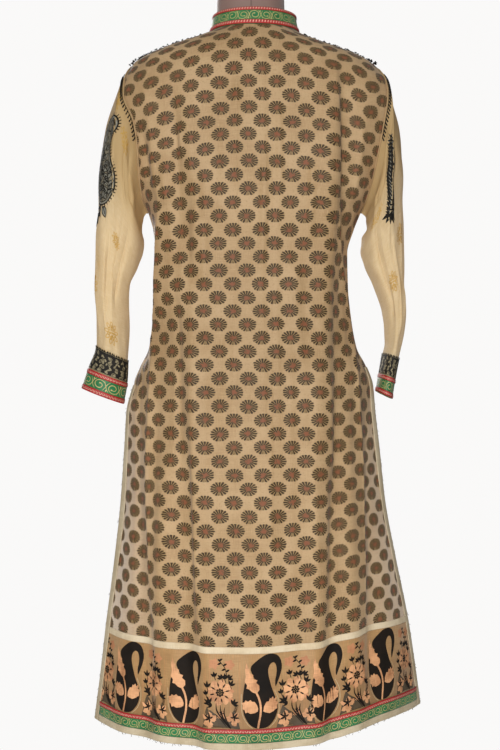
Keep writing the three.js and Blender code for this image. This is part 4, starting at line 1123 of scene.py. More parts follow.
def sleeve_with_creases(sleeve, seed):
    """A sleeve's surface with its long folds, and its two ends made one."""
    surface = sleeve_surface(sleeve, np.linspace(0, SLEEVE_RINGS, 250), np.linspace(0, 360, 145))
    turn = surface.columns[None, :] * 360
    down = -surface.ups[:, None]
    around = np.radians(turn)
    loose = smooth(down, 0.0, 0.05) * (1 - smooth(down, 0.42, 0.47))
    soft = waves(0.05 * np.cos(around) + down * 0.35, 0.05 * np.sin(around) + down, 0.020, 0.070, seed)
    long = waves(0.05 * np.cos(around), 0.05 * np.sin(around) + 0.25 * down, 0.022, 0.022, seed + 1)
    move = (0.0016 * soft + 0.0014 * long) * loose + INWARD
    for start_turn, start_down, end_turn, end_down, depth, width in SLEEVE_CREASES:
        start, end = (start_turn * GIRTH_DEGREE, start_down), (end_turn * GIRTH_DEGREE, end_down)
        move = move + crease(turn * GIRTH_DEGREE, down, start, end, depth, width, sharp=True)
    surface.move(move)
    ends = (surface.points[:, :1] + surface.points[:, -1:]) / 2
    surface.points[:, :1] = surface.points[:, -1:] = ends
    return surface


GIRTH_DEGREE = 0.00095  # metres of a sleeve's girth in one degree of its turn
# Long folds of a sleeve: the turn and the way down of both ends, depth and width.
SLEEVE_CREASES = (
    (122, 0.010, 92, 0.290, 0.0042, 0.0055),
    (104, 0.150, 98, 0.420, -0.0034, 0.0060),
    (72, 0.120, 84, 0.420, 0.0040, 0.0070),
    (60, 0.150, 66, 0.370, -0.0060, 0.0042),
    (112, 0.240, 104, 0.430, 0.0040, 0.0050),
    (128, 0.060, 118, 0.260, -0.0034, 0.0050),
    (98, 0.004, 70, 0.160, 0.0040, 0.0060),
    (84, 0.010, 52, 0.120, -0.0034, 0.0050),
    (52, 0.030, 60, 0.220, 0.0045, 0.0090),
    (146, 0.200, 132, 0.440, 0.0026, 0.0060),
    (212, 0.120, 228, 0.430, 0.0034, 0.0070),
    (256, 0.060, 262, 0.400, 0.0038, 0.0080),
    (300, 0.080, 292, 0.380, 0.0030, 0.0080),
)

BACK_SURFACE = back_surface()
FRONT_SURFACE = front_surface()
LEFT_SURFACE = sleeve_with_creases(left_sleeve, 21)
RIGHT_SURFACE = sleeve_with_creases(right_sleeve, 31)


def part_of(surface, low, high):
    """The rows of a surface from one height to another."""
    rows_kept = (surface.ups >= low - 1e-6) & (surface.ups <= high + 1e-6)
    return Surface(
        surface.points[rows_kept], surface.columns, surface.ups[rows_kept],
        surface.reach_low[rows_kept], surface.reach_high[rows_kept], surface.origin, surface.inside_out,
    )


def reach(surface, up, sign):
    """How far across a surface reaches at a height, to its left for sign -1 and its right for 1."""
    order = np.argsort(surface.ups)
    values = surface.reach_low if sign < 0 else surface.reach_high
    return np.interp(up, surface.ups[order], values[order])


# ---- The cloths ----------------------------------------------------------------------------------

upper = part_of(BACK_SURFACE, BORDER_SEAM_Z, NECK_Z)
# The silk is see-through most where the skirt's outer parts hang clear of the rest.
outer = smooth(np.abs(upper.across()), 0.16, 0.30) * (1 - smooth(upper.ups, 0.70, 0.90))[:, None]
outer *= np.where(upper.across() < 0, 0.22, 0.12)
# Rows of the weave droop towards the shoulders, and run on up the cloth where it leans over them.
climb = np.linalg.norm(np.diff(upper.points, axis=0), axis=-1) * (upper.ups[1:, None] > LEAN_Z)
climb = np.concatenate([0 * climb[:1], climb]).cumsum(0)
level = np.minimum(upper.ups, LEAN_Z)[:, None] + climb
aside = np.minimum(np.abs(upper.across()) / 0.16, 1.15)
droop = ROW_DROOP * aside**2 * smooth(upper.ups, 1.10, 1.25)[:, None]
back_cloth = cloth_piece("back_cloth", upper, SILK, "buti_silk", third=0.02 + outer, ups=level + droop)
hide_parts("back_panel")

border_cloth = cloth_piece(
    "border_cloth", part_of(BACK_SURFACE, HEM_Z, BORDER_SEAM_Z), BORDER, "border_silk"
)
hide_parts("back_border")

cell_across = (FRONT_SURFACE.across()[:-1, :-1] + FRONT_SURFACE.across()[1:, 1:]) / 2
cell_up = np.broadcast_to(FRONT_SURFACE.ups[:-1, None], cell_across.shape)
keep = (cell_up < NECK_Z - NECK_SLIT) | (np.abs(cell_across) > NECK_SLIT_GAP / 2)
front_cloth = cloth_piece("front_cloth", FRONT_SURFACE, PLAIN, "plain_cloth", keep=keep)
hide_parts("front_panel")


def yoke(surface):
    """1 at a sleeve's head, which a second layer backs, and 0 lower down."""
    return 1 - smooth(-surface.ups, 0.06, 0.24)[:, None]


left_cloth = cloth_piece(
    "sleeve_cloth_left", LEFT_SURFACE, PLAIN, "plain_cloth", yoke(LEFT_SURFACE), ring=True
)
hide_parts("sleeve_left")
right_cloth = cloth_piece(
    "sleeve_cloth_right", RIGHT_SURFACE, PLAIN, "plain_cloth", yoke(RIGHT_SURFACE), ring=True
)
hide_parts("sleeve_right")

# ---- The form and its stand ----------------------------------------------------------------------


FORM_COLUMNS = 120
TURNED_SEGMENTS = 96


def form():
    """The headless, armless torso, closed above and below."""
    bottom_edge = [0.772, 0.7735, 0.776, 0.779]
    heights = np.concatenate([bottom_edge, np.linspace(0.785, 1.30, 60), np.linspace(1.305, 1.486, 70)])
    turn = np.linspace(0, 2 * math.pi, FORM_COLUMNS, endpoint=False)
    power = 2 / 2.2
    value = {c: at(FORM, c, heights)[:, None] for c in list(FORM)[1:]}
    side = np.sign(np.sin(turn)) * np.abs(np.sin(turn)) ** power
    end = np.where(np.cos(turn) > 0, value["back"], value["front"])
    x = value["mid"] + value["half"] * side
    y = value["wide"] + (end - value["wide"]) * np.abs(np.cos(turn)) ** power
    rings = np.stack(np.broadcast_arrays(x, y, heights[:, None]), -1)
    low, high = rings[:1].mean(1, keepdims=True), rings[-1:].mean(1, keepdims=True)
    rings = np.concatenate([low + 0 * rings[:1], rings, high + 0 * rings[-1:]])
    faces = grid_faces(len(rings), FORM_COLUMNS, ring=True)
    made = piece("form", rings.reshape(-1, 3), faces, COVER, "form_cover")
    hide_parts("dress_form")


def turned_piece(name, node, profile, middle=(0.0, 0.0)):
    """A turned metal piece of the stand, with crisp edges."""
    points, faces = lathe(profile, TURNED_SEGMENTS, middle)
    made = piece(name, points, faces, METAL, "stand_metal")
    edge = made.modifiers.new("edges", "EDGE_SPLIT")
    edge.split_angle = math.radians(40)
    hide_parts(node)


form()
turned_piece(
    "base", "stand_base",
    [
        (0, 0), (0.166, 0), (0.1675, 0.0006), (0.168, 0.002), (0.168, 0.009), (0.1672, 0.0112),
        (0.165, 0.0128), (0.16, 0.0136), (0.032, 0.0168), (0.0305, 0.018), (0.0245, 0.0288), (0.0235, 0.03),
        (0, 0.03),
    ],
)
turned_piece("post", "pole", [(0, 0.03035), (0.0125, 0.03035), (0.0125, 0.7453), (0, 0.7453)])
turned_piece(
    "socket", "pole_socket",
    [(0, 0.74565), (0.0194, 0.74565), (0.0204, 0.7462), (0.022, 0.7495), (0.022, 0.766), (0.0225, 0.7668),
     (0.034, 0.7714), (0, 0.77165)],
)
turned_piece(
    "cap", "neck_cap",
    [(0, 1.48635), (0.040, 1.48635), (0.0416, 1.4872), (0.042, 1.489), (0.042, 1.4915), (0.0408, 1.4942),
     (0.038, 1.4955), (0.020, 1.4968), (0, 1.4974)],
    middle=(-0.005, 0.0),
)

# ---- Trims of the back ---------------------------------------------------------------------------


FRAYED = 0.0004  # how far a facing's edges waver
TRIM_ROWS = 7
TRIM_COLUMNS = 330


def edge_strip(name, ups, low, high, columns, lift, material, slot, rough_edge=0.0, seed=0):
    """A strip of the back between two lines: low(up) and high(up) across, with a slightly uneven edge."""
    ups = np.asarray(ups, float)[:, None]
    share = np.linspace(0, 1, columns)[None, :]
    uneven = rough_edge * waves(ups, 0 * ups, 0.006, 1.0, seed)
    acrosses = low(ups) + (high(ups) - low(ups)) * share + uneven * (share > 0.5) - uneven * (share < 0.5)
    return strip(name, BACK_SURFACE, acrosses, ups, lift, material, slot)


def facing_inner(sign, shrink=0.0):
    """The line where a slit facing ends and the border trims begin."""
    return lambda up: sign * (reach(BACK_SURFACE, up, sign) - FACING_WIDTH - shrink)


def trims():
    """Both slit facings, the hem's facing and the tape over the border's seam."""
    made = []
    for side, sign, top in (("left", -1, SLIT_TOP_LEFT_Z), ("right", 1, SLIT_TOP_RIGHT_Z)):
        outer_edge = lambda up, sign=sign: sign * reach(BACK_SURFACE, up, sign)
        lines = (outer_edge, facing_inner(sign)) if sign < 0 else (facing_inner(sign), outer_edge)
        ups = np.linspace(HEM_Z, top, 300)
        facing = edge_strip(
            "facing_" + side, ups, *lines, TRIM_ROWS, SEAM, BINDING, "binding", FRAYED, 40 + sign
        )
        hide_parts("slit_facing_" + side)
        made.append(facing)
    between = (facing_inner(-1, SEAM), facing_inner(1, SEAM))
    ups = np.linspace(HEM_Z, HEM_Z + HEM_FACING_WIDTH, TRIM_ROWS)
    hem = edge_strip("hem_strip", ups, *between, TRIM_COLUMNS, SEAM, BINDING, "binding")
    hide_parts("hem_facing")
    ups = np.linspace(BORDER_SEAM_Z, BORDER_SEAM_Z + TAPE_WIDTH, TRIM_ROWS)
    tape = edge_strip("seam_tape", ups, *between, TRIM_COLUMNS, SEAM, TAPE, "pale_tape")
    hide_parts("border_seam_tape")
    return made + [hem, tape]


class Band:
    """A straight band on a surface, for a braid: along it in metres from low to high, and up it."""

    def __init__(self, surface, low, high, foot, top):
        self.surface, self.low, self.high, self.foot, self.top = surface, low, high, foot, top

    ROWS = 9

    def strip(self, name, foot, top, lift, material, slot, bulge=0.0, thickness=TRIM, count=400):
        """A strip along the whole band. bulge: how much its middle stands out. count: points along it."""
        ups = np.linspace(foot, top, self.ROWS)[:, None]
        acrosses = np.linspace(self.low, self.high, count)[None, :] + 0 * ups
        lifts = lift + bulge * (1 - np.linspace(-1, 1, self.ROWS)[:, None] ** 2)
        return strip(name, self.surface, acrosses, ups, lifts, material, slot, thickness)


# The vine between two spirals: along it in pitches, and up it in heights, from its middle.
VINE = ((-0.22, -0.47), (-0.04, -0.22), (0.05, 0.05), (0.20, 0.44))


def scroll(drawing, start, end, foot, top):
    """A vine of round spirals along a band, with a leaf between each two, in thin gold ribbon."""
    height = top - foot
    count = max(1, round((end - start) / (height * 1.30)))
    pitch = (end - start) / count
    middle = (foot + top) / 2
    for i in range(count):
        x = start + (i + 0.5) * pitch
        way = 1 if i % 2 else -1
        turn = np.linspace(0, 2.6 * math.pi, 40)
        size = height * (0.49 - 0.34 * turn / turn[-1])
        curl_x = x + 1.20 * size * np.cos(turn + math.pi)
        curl = np.stack([curl_x, middle + way * size * np.sin(turn + math.pi)], -1)
        drawing.stroke(curl, height * 0.070, 0.3)
        drawing.leaf(curl[-1], 90 * way, height * 0.20, height * 0.13)
        edge = x + pitch * 0.5
        for side in (1, -1):
            vine = [(edge + pitch * a, middle + side * height * b) for a, b in VINE]
            drawing.stroke(spline(vine, steps=4), height * 0.062, 0.5)
        angle = -20 if way > 0 else 200
        drawing.leaf((edge, middle - way * height * 0.46), angle, height * 0.26, height * 0.12)
    return drawing


PICOT_PITCH = 0.0050
PICOT_THREAD = 0.00085
# A loop: along in pitches and up in heights.
PICOT_LOOP = ((-0.28, 1.0), (-0.26, 0.3), (0.0, 0.0), (0.26, 0.3), (0.28, 1.0))


def picots(drawing, start, end, foot, height):
    """A row of small pale loops of thread."""
    for x in np.arange(start + PICOT_PITCH / 2, end, PICOT_PITCH):
        drawing.stroke([(x + PICOT_PITCH * a, foot + height * b) for a, b in PICOT_LOOP], PICOT_THREAD)


def braid(name, band, reds, node):
    """A green band with a gold vine, edged with raised red strips. reds: (foot, top) of each strip."""
    base = band.strip(name + "_band", band.foot, band.top, SEAM, GREEN, "braid")
    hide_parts(node)
    greens = [band.foot] + [v for r in reds for v in r] + [band.top]
    greens = [(a, b) for a, b in zip(greens[::2], greens[1::2]) if b - a > 0.004]
    gold, loops = Drawing(), Drawing()
    for foot, top in greens:
        scroll(gold, band.low + 0.001, band.high - 0.001, foot + 0.0006, top - 0.0006)
    pieces = [gold.lay(name + "_vine", band.surface, SEAM + TRIM + THREAD_LIFT, GOLD, "braid")]
    for i, (foot, top) in enumerate(reds):
        pieces.append(band.strip(f"{name}_red_{i}", foot, top, SEAM + 0.0005, RED, "braid", bulge=0.0002))
        picots(loops, band.low, band.high, foot + (top - foot) * 0.28, (top - foot) * 0.42)
    pieces.append(
        loops.lay(name + "_picots", band.surface, SEAM + 2.1 * TRIM + THREAD_LIFT, PICOT, "braid")
    )
    return [base, *pieces]


def collar_surface():
    """The stand collar's outer face, from one end of the front opening round the back to the other."""
    top = [NECK_Z]
    half_gap = NECK_SLIT_GAP / 2 / front.grid(top, np.array([1.0]))[1][0, 0]
    front_left = front.grid(top, np.linspace(-half_gap, -1, 90))[0][0]
    back_half = back.grid(top, np.linspace(-1, 1, 200))[0][0]
    front_right = front.grid(top, np.linspace(1, half_gap, 90))[0][0]
    seam = np.concatenate([front_left[:-1], back_half, front_right[1:]])
    along = lengths(seam)
    seam = resampled(np.linspace(0, along[-1], COLLAR_COLUMNS), along, seam)
    inward = unit((np.array([0, -0.005, 0]) - seam) * [1, 1, 0])
    share = np.linspace(0, 1, 13)[:, None, None]
    rise = np.array([0, 0, 1.0]) * (SEAM + 0.0003 + share * COLLAR_HEIGHT)
    points = seam[None] + inward[None] * share * COLLAR_HEIGHT * COLLAR_LEAN + rise
    half = np.full(13, along[-1] / 2)
    columns = np.linspace(-1, 1, COLLAR_COLUMNS)
    return Surface(points, columns, share[:, 0, 0] * COLLAR_HEIGHT, half, half)


def collar():
    """The collar: a firm wall of green braid between beaded red pipings."""
    surface = collar_surface()
    half = surface.reach_high[0]
    band = Band(surface, -half, half, 0.0, COLLAR_HEIGHT)
    wall = {"thickness": COLLAR_THICKNESS, "count": COLLAR_COLUMNS}
    base = band.strip("collar_band", 0.0, COLLAR_HEIGHT, -COLLAR_THICKNESS, GREEN, "braid", **wall)
    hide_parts("collar")
    gold, beads = Drawing(), Drawing()
    scroll(gold, -half + 0.002, half - 0.002, 0.0070, COLLAR_HEIGHT - 0.0052)
    pieces = [gold.lay("collar_vine", surface, THREAD_LIFT, GOLD, "braid")]
    piping = {"bulge": 0.0009, "thickness": 0.0008}
    high_foot = COLLAR_HEIGHT - COLLAR_HIGH_PIPING
    for name, foot, top in (("low", 0.0, COLLAR_LOW_PIPING), ("high", high_foot, COLLAR_HEIGHT)):
        pieces.append(band.strip("collar_piping_" + name, foot, top, -0.0002, RED, "braid", **piping))
        for x in np.arange(-half + 0.001, half, COLLAR_BEAD_PITCH):
            lean = [(x, foot + (top - foot) * 0.25), (x + 0.0014, foot + (top - foot) * 0.78)]
            beads.stroke(lean, COLLAR_BEAD_WIDTH)
    pieces.append(beads.lay("collar_beads", surface, 0.0018, PICOT, "braid"))
    return [base, *pieces]


# ---- The border's woven figures ------------------------------------------------------------------

# One paisley, in metres from its foot: the hooked body, the leaf at its shoulder and the two below.
PAISLEY = (
    (-0.0016, 0.0007), (0.0115, 0.0030), (0.0215, 0.0130), (0.0262, 0.0240), (0.0270, 0.0320),
    (0.0250, 0.0410), (0.0214, 0.0510), (0.0180, 0.0600), (0.0155, 0.0690), (0.0132, 0.0790),
    (0.0130, 0.0880), (0.0160, 0.0945), (0.0205, 0.0972), (0.0245, 0.0945), (0.0262, 0.0870),
    (0.0254, 0.0780), (0.0236, 0.0700), (0.0242, 0.0612), (0.0282, 0.0690), (0.0322, 0.0790),
    (0.0346, 0.0890), (0.0334, 0.0990), (0.0286, 0.1068), (0.0200, 0.1104), (0.0100, 0.1094),
    (0.0010, 0.1044), (-0.0072, 0.0984), (-0.0128, 0.0930), (-0.0140, 0.0870), (-0.0112, 0.0800),
    (-0.0086, 0.0720), (-0.0150, 0.0640), (-0.0222, 0.0680), (-0.0246, 0.0590), (-0.0262, 0.0470),
    (-0.0262, 0.0340), (-0.0246, 0.0210), (-0.0184, 0.0090), (-0.0100, 0.0022),
)
SHOULDER_LEAF = (
    (-0.0198, 0.0980), (-0.0180, 0.0905), (-0.0152, 0.0890), (-0.0158, 0.0830), (-0.0100, 0.0800),
    (-0.0112, 0.0745), (-0.0040, 0.0720), (-0.0058, 0.0680), (-0.0012, 0.0640), (-0.0010, 0.0575),
    (-0.0056, 0.0518), (-0.0120, 0.0545), (-0.0168, 0.0590), (-0.0208, 0.0600), (-0.0196, 0.0650),
    (-0.0232, 0.0700), (-0.0214, 0.0780), (-0.0224, 0.0880),
)
LEFT_LEAF = (
    (-0.0040, 0.0262), (-0.0080, 0.0238), (-0.0150, 0.0228), (-0.0196, 0.0250), (-0.0226, 0.0238),
    (-0.0240, 0.0285), (-0.0272, 0.0300), (-0.0262, 0.0350), (-0.0284, 0.0390), (-0.0240, 0.0398),
    (-0.0222, 0.0428), (-0.0186, 0.0408), (-0.0150, 0.0432), (-0.0122, 0.0404), (-0.0086, 0.0402),
    (-0.0050, 0.0350), (-0.0034, 0.0300),
)
RIGHT_LEAF = (
    (0.0042, 0.0258), (0.0080, 0.0240), (0.0140, 0.0226), (0.0200, 0.0250), (0.0226, 0.0272),
    (0.0262, 0.0290), (0.0258, 0.0335), (0.0278, 0.0380), (0.0240, 0.0392), (0.0250, 0.0455),
    (0.0210, 0.0432), (0.0196, 0.0470), (0.0166, 0.0436), (0.0150, 0.0450), (0.0130, 0.0400),
    (0.0094, 0.0398), (0.0056, 0.0330),
)
STEM = (
    (-0.0056, 0.0530), (-0.0020, 0.0450), (0.0004, 0.0340), (0.0002, 0.0220), (-0.0022, 0.0100),
    (-0.0040, 0.0008),
)


# Pale lines beside its body, left and right.
SIDE_LINES = (
    ((-0.0285, 0.052), (-0.0285, 0.034), (-0.0265, 0.020), (-0.0195, 0.0075), (-0.012, 0.0012)),
    ((0.0225, 0.056), (0.0282, 0.042), (0.0292, 0.031), (0.0280, 0.022), (0.0230, 0.0105), (0.013, 0.0012)),
)


def on_border(points, across):
    """Flat points given from the border's foot and a figure's middle line."""
    return np.asarray(points, float) + np.array([across, BORDER_FOOT_Z])


def paisley(body, peach, pale, across):
    """The paisley's body, leaves and stem, with its middle line at across."""
    body.fill(on_border(spline(PAISLEY, closed=True, steps=4), across))
    for outline in (SHOULDER_LEAF, LEFT_LEAF, RIGHT_LEAF):
        peach.fill(on_border(outline, across))
    peach.stroke(on_border(spline(STEM, steps=6), across), 0.0030)
    for line in SIDE_LINES:
        pale.stroke(on_border(spline(line, steps=6), across), 0.0007)


def cluster(drawing, base, angle, length, width, spread=42, count=3):
    """A few small leaves that open from one base."""
    for turn in np.linspace(-spread, spread, count):
        drawing.leaf(base, angle + turn, length * (1 - 0.12 * abs(turn) / max(spread, 1)), width)


FLOWER_PETALS = 8
# A petal's outline from its base, as shares of the flower's radius.
PETAL = ((0, 0), (0.16, 0.30), (0.27, 0.60), (0.14, 0.84), (-0.10, 0.82), (-0.27, 0.60), (-0.16, 0.30))


def flower(peach, black, centre, radius, turned_by):
    """A round peach flower with a black leaf and a black dot between each two petals."""
    centre = np.array(centre)
    petal = spline([(radius * x, radius * y) for x, y in PETAL], closed=True, steps=2)
    for i in range(FLOWER_PETALS):
        angle = turned_by + 360 * i / FLOWER_PETALS
        peach.fill(turned(petal, angle) + (centre + toward(angle, radius * 0.16)))
    for i in range(FLOWER_PETALS):
        angle = turned_by + 360 * (i + 0.5) / FLOWER_PETALS
        black.leaf(centre + toward(angle, radius * 0.44), angle, radius * 0.36, radius * 0.12)
        black.dot(centre + toward(angle + 12, radius * 0.24), radius * 0.095)
    for i in range(4):
        black.dot(centre + toward(90 * i, radius * 0.09), radius * 0.07)


# One spray, in metres from its foot and its middle line.
HILL = (
    (-0.030, 0.0), (-0.0265, 0.0130), (-0.0230, 0.0260), (-0.0200, 0.0330), (-0.0140, 0.0270),
    (-0.0040, 0.0190), (0.0060, 0.0160), (0.0150, 0.0200), (0.0215, 0.0290), (0.0235, 0.0240),
    (0.0270, 0.0120), (0.0300, 0.0),
)
TWIG = ((-0.0015, 0.1015), (0.0030, 0.0965), (0.0080, 0.0900), (0.0100, 0.0820), (0.0105, 0.0760))
TWIG_LEAVES = (0.08, 0.24, 0.4, 0.56, 0.7, 0.84, 0.98)  # their places as shares of the twig
FERN = ((0.0225, 0.0240), (0.0240, 0.0320), (0.0215, 0.0400))
# Small roses: x, y and size.
ROSES = (
    (-0.0085, 0.0960, 0.0085), (0.0150, 0.0950, 0.0080), (0.0155, 0.0560, 0.0060), (0.0150, 0.0440, 0.0050),
)
# Buds on short stalks: x, y, angle and length.
BUDS = (
    (0.0075, 0.0735, 0, 0.0070), (0.0030, 0.0745, -50, 0.0062), (0.0130, 0.0740, 50, 0.0066),
    (-0.0080, 0.0770, -10, 0.0062), (0.0160, 0.0640, 25, 0.0074), (-0.0195, 0.0610, 0, 0.0078),
    (-0.0215, 0.0500, -12, 0.0060),
)
# Tufts of leaves: x, y, angle, length, width, spread and count.
TUFTS = (
    (-0.0165, 0.0375, -35, 0.0110, 0.0036, 60, 4),
    (-0.0120, 0.0345, -80, 0.0090, 0.0032, 35, 3),
    (0.0195, 0.0360, 40, 0.0100, 0.0034, 60, 4),
)
# Stems: their points and width.
SPRAY_STEMS = (
    (((-0.0060, 0.0380), (-0.0050, 0.0270), (0.0030, 0.0150), (0.0130, 0.0035), (0.0165, 0.0008)), 0.0024),
    (((0.0005, 0.0350), (0.0015, 0.0230), (0.0080, 0.0110), (0.0150, 0.0020)), 0.0022),
    (((0.0070, 0.0320), (0.0060, 0.0230), (0.0100, 0.0120), (0.0165, 0.0010)), 0.0022),
    (((-0.0090, 0.0230), (-0.0030, 0.0180), (0.0050, 0.0090), (0.0110, 0.0015)), 0.0013),
)
# Peach leaves with black veins: x, y, angle and size.
BROAD_LEAVES = (
    (-0.0160, 0.0150, -60, 0.0175), (0.0205, 0.0165, 40, 0.0155), (0.0020, 0.0215, 10, 0.0095),
)


def spray(black, peach, rose, wedge, across):
    """The flowering spray between two paisleys. across: its middle line."""
    at_point = lambda x, y: (across + x, BORDER_FOOT_Z + y)
    curve = lambda points, steps: spline(on_border(points, across), steps)
    wedge.fill(on_border(HILL, across))
    flower(peach, black, at_point(0.0, 0.0535), 0.0195, turned_by=10)
    for x, y, size in ROSES:
        for i in range(5):
            rose.leaf(at_point(x, y), 72 * i + 20, size * 1.05, size * 0.85)
    twig = curve(TWIG, 6)
    black.stroke(twig, 0.0011)
    for i, share in enumerate(TWIG_LEAVES):
        base = twig[int(share * (len(twig) - 1))]
        black.leaf(base, -115 if i % 2 else 60, 0.0064, 0.0030)
    black.dot(at_point(-0.0015, 0.1020), 0.0013)
    black.dot(at_point(0.0010, 0.1003), 0.0009)
    for x, y, angle, length in BUDS:
        cluster(black, at_point(x, y), angle, length * 1.3, 0.0034)
        black.stroke([at_point(x, y), at_point(x + 0.0016, y - 0.0050)], 0.0011)
    for x, y, *shape in TUFTS:
        cluster(black, at_point(x, y), *shape)
    for points, width in SPRAY_STEMS:
        black.stroke(curve(points, 6), width, 0.75)
    for x, y, angle, size in BROAD_LEAVES:
        for turn in (-100, -50, 0, 50, 100):
            length = size * (1 - abs(turn) / 300)
            peach.leaf(at_point(x * 0.86, y - 0.004), angle + turn, length, size * 0.55, teeth=4)
        cluster(black, at_point(x, y), angle, size * 0.62, size * 0.17, 50, 3)
        cluster(black, at_point(x, y), angle + 180, size * 0.4, size * 0.15, 60, 2)
    fern = curve(FERN, 8)
    black.stroke(fern, 0.0005)
    for i, p in enumerate(fern[1:]):
        black.leaf(p, -60 if i % 2 else 60, 0.0032, 0.0009)


def border_figures():
    """All the border's paisleys and sprays, as one piece for each colour."""
    body, black, peach, rose, pale, wedge = (Drawing() for _ in range(6))
    for across in PAISLEYS_ACROSS:
        paisley(body, peach, pale, across)
    for across in SPRAYS_ACROSS:
        spray(black, peach, rose, wedge, across)
    inside = lambda up: (facing_inner(-1, -0.003)(up), facing_inner(1, -0.003)(up))
    made = []
    for name, drawing, lift, material in (
        ("border_hills", wedge, 0.00010, WEDGE),
        ("border_rose", rose, 0.00016, ROSE),
        ("border_paisleys", body, 0.00022, FIGURE),
        ("border_peach", peach, 0.00030, PEACH),
        ("border_outlines", pale, 0.00036, PALE_LINE),
        ("border_leaves", black, 0.00040, FIGURE),
    ):
        made.append(drawing.lay(name, BACK_SURFACE, lift, material, "border_silk", inside=inside))
    return made


# ---- Armholes, shoulders and sleeves -------------------------------------------------------------


def ladder(name, surface, node):
    """An armhole's trim: a pale cord all round, and black ladder stitches over its shoulder."""
    girth = surface.reach_high[0]
    across = lambda turns: (np.asarray(turns) / 360 - surface.origin) * girth
    # The cord lies over the seam, half the seam's gap inward of the sleeve's edge.
    inward = 0.0010 if surface is LEFT_SURFACE else -0.0007
    line = surface.place(across(np.linspace(2, 358, 220)), 0, 0.0005) + [inward, 0, 0]
    made = piece(name + "_cord", *tube(line, CORD_RADIUS, 8), CORD, "binding")
    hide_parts(node)
    parts = []
    for low, high in LADDER_TURNS:
        turns = np.linspace(low, high, 60)
        parts.append(tube(surface.place(across(turns), -LADDER_TOP, 0.0013), 0.0005, 5))
        for a in np.arange(across(low), across(high), LADDER_PITCH):
            ups = np.linspace(-LADDER_TOP, -LADDER_REACH, 4)
            bar = surface.place(np.full(4, a), ups, [0.0012, 0.0017, 0.0015, 0.0009])
            parts.append(tube(bar, LADDER_BAR, 5))
    return [made, tubes(name, parts, BLACK, "embroidery")]


CORD_RADIUS = 0.0013
LADDER_TURNS = ((88, 150), (210, 272))
LADDER_TOP = 0.0030  # how far down the sleeve the bars start
LADDER_REACH = 0.0105  # and end
LADDER_PITCH = 0.0046
LADDER_BAR = 0.0011


KNOTS_LOW_Z = 1.353
KNOTS_HIGH_Z = 1.400
KNOTS_LIFT = 0.0022


def shoulder_knots():
    """French knots worked along both shoulder ridges."""
    random = np.random.default_rng(5)
    parts = []
    for sign in (-1, 1):
        ups = np.linspace(KNOTS_LOW_Z, KNOTS_HIGH_Z, 46)
        ridge = BACK_SURFACE.place(sign * reach(BACK_SURFACE, ups, sign) * 0.96, ups, KNOTS_LIFT)
        for point in ridge:
            for _ in range(3 if sign > 0 else 2):
                start = point + random.uniform((-0.0035, -0.0065, -0.0004), (0.0035, 0.0065, 0.0008))
                way = unit(random.uniform(-1, 1, 3) * [1, 1, 0.25]) * random.uniform(0.0016, 0.0036)
                line = np.array([start - way / 2, start + [0, 0, 0.0008], start + way / 2])
                parts.append(tube(line, random.uniform(0.0007, 0.0012), 5))
    return tubes("shoulder_knots", parts, BLACK, "embroidery")


UPRIGHT_TURNS = (55, 255)  # the part of a sleeve that faces back and outward


def upright(surface, heights, rightwards):
    """Part of a sleeve by level rows. Across is 0 at its outermost line and rises rightwards."""
    turns = surface.columns * 360
    chosen = np.where((turns >= UPRIGHT_TURNS[0]) & (turns <= UPRIGHT_TURNS[1]))[0]
    rows_made = []
    for z in heights:
        line = []
        for j in chosen:
            column = surface.points[:, j]
            fall = np.minimum.accumulate(column[:, 2])[::-1]
            share = np.interp(z, fall, np.arange(len(fall))[::-1].astype(float))
            line.append(resampled(share, np.arange(len(column)), column))
        line = np.array(line)
        rows_made.append(line if rightwards else line[::-1])
    middle_turn = np.argmin(abs((turns[chosen] if rightwards else turns[chosen][::-1]) - 180))
    evened, low, high = [], [], []
    for line in rows_made:
        along = lengths(line)
        along -= along[middle_turn]
        goal = np.concatenate([np.linspace(along[0], 0, 41), np.linspace(0, along[-1], 41)[1:]])
        evened.append(resampled(goal, along, line))
        low.append(-along[0])
        high.append(along[-1])
    return Surface(np.array(evened), np.linspace(-1, 1, 81), heights, np.array(low), np.array(high))


# The embroidered paisley on a sleeve, in metres: across from the sleeve's outer line, and height.
SLEEVE_PAISLEY = (
    (0.0430, 1.2590), (0.0560, 1.2640), (0.0670, 1.2605), (0.0740, 1.2510), (0.0735, 1.2410),
    (0.0680, 1.2330), (0.0650, 1.2250), (0.0685, 1.2140), (0.0725, 1.2020), (0.0765, 1.1900),
    (0.0805, 1.1790), (0.0830, 1.1660), (0.0825, 1.1530), (0.0780, 1.1410), (0.0700, 1.1310),
    (0.0590, 1.1250), (0.0470, 1.1260), (0.0360, 1.1330), (0.0280, 1.1440), (0.0230, 1.1580),
    (0.0220, 1.1730), (0.0240, 1.1890), (0.0265, 1.2050), (0.0290, 1.2200), (0.0320, 1.2350),
    (0.0360, 1.2490),
)


PAISLEY_STEMS = (
    (
        (0.0560, 1.1290), (0.0510, 1.1450), (0.0480, 1.1640), (0.0530, 1.1830), (0.0540, 1.2010),
        (0.0480, 1.2180),
    ),
    ((0.0640, 1.1360), (0.0680, 1.1500), (0.0690, 1.1650), (0.0655, 1.1790)),
    ((0.0400, 1.1370), (0.0350, 1.1520), (0.0330, 1.1690), (0.0350, 1.1860), (0.0390, 1.2010)),
)
PAISLEY_HOOK = ((0.0455, 1.2220), (0.0430, 1.2340), (0.0460, 1.2460))
PAISLEY_FOOT = ((0.0520, 1.1250), (0.0490, 1.1150), (0.0420, 1.1060), (0.0330, 1.1010))
# The leaves at its foot: across, up and angle.
PAISLEY_FOOT_LEAVES = (
    (0.0500, 1.1240, 190), (0.0590, 1.1220, 158), (0.0410, 1.1290, 224), (0.0460, 1.1100, 200),
    (0.0380, 1.1060, 238),
)


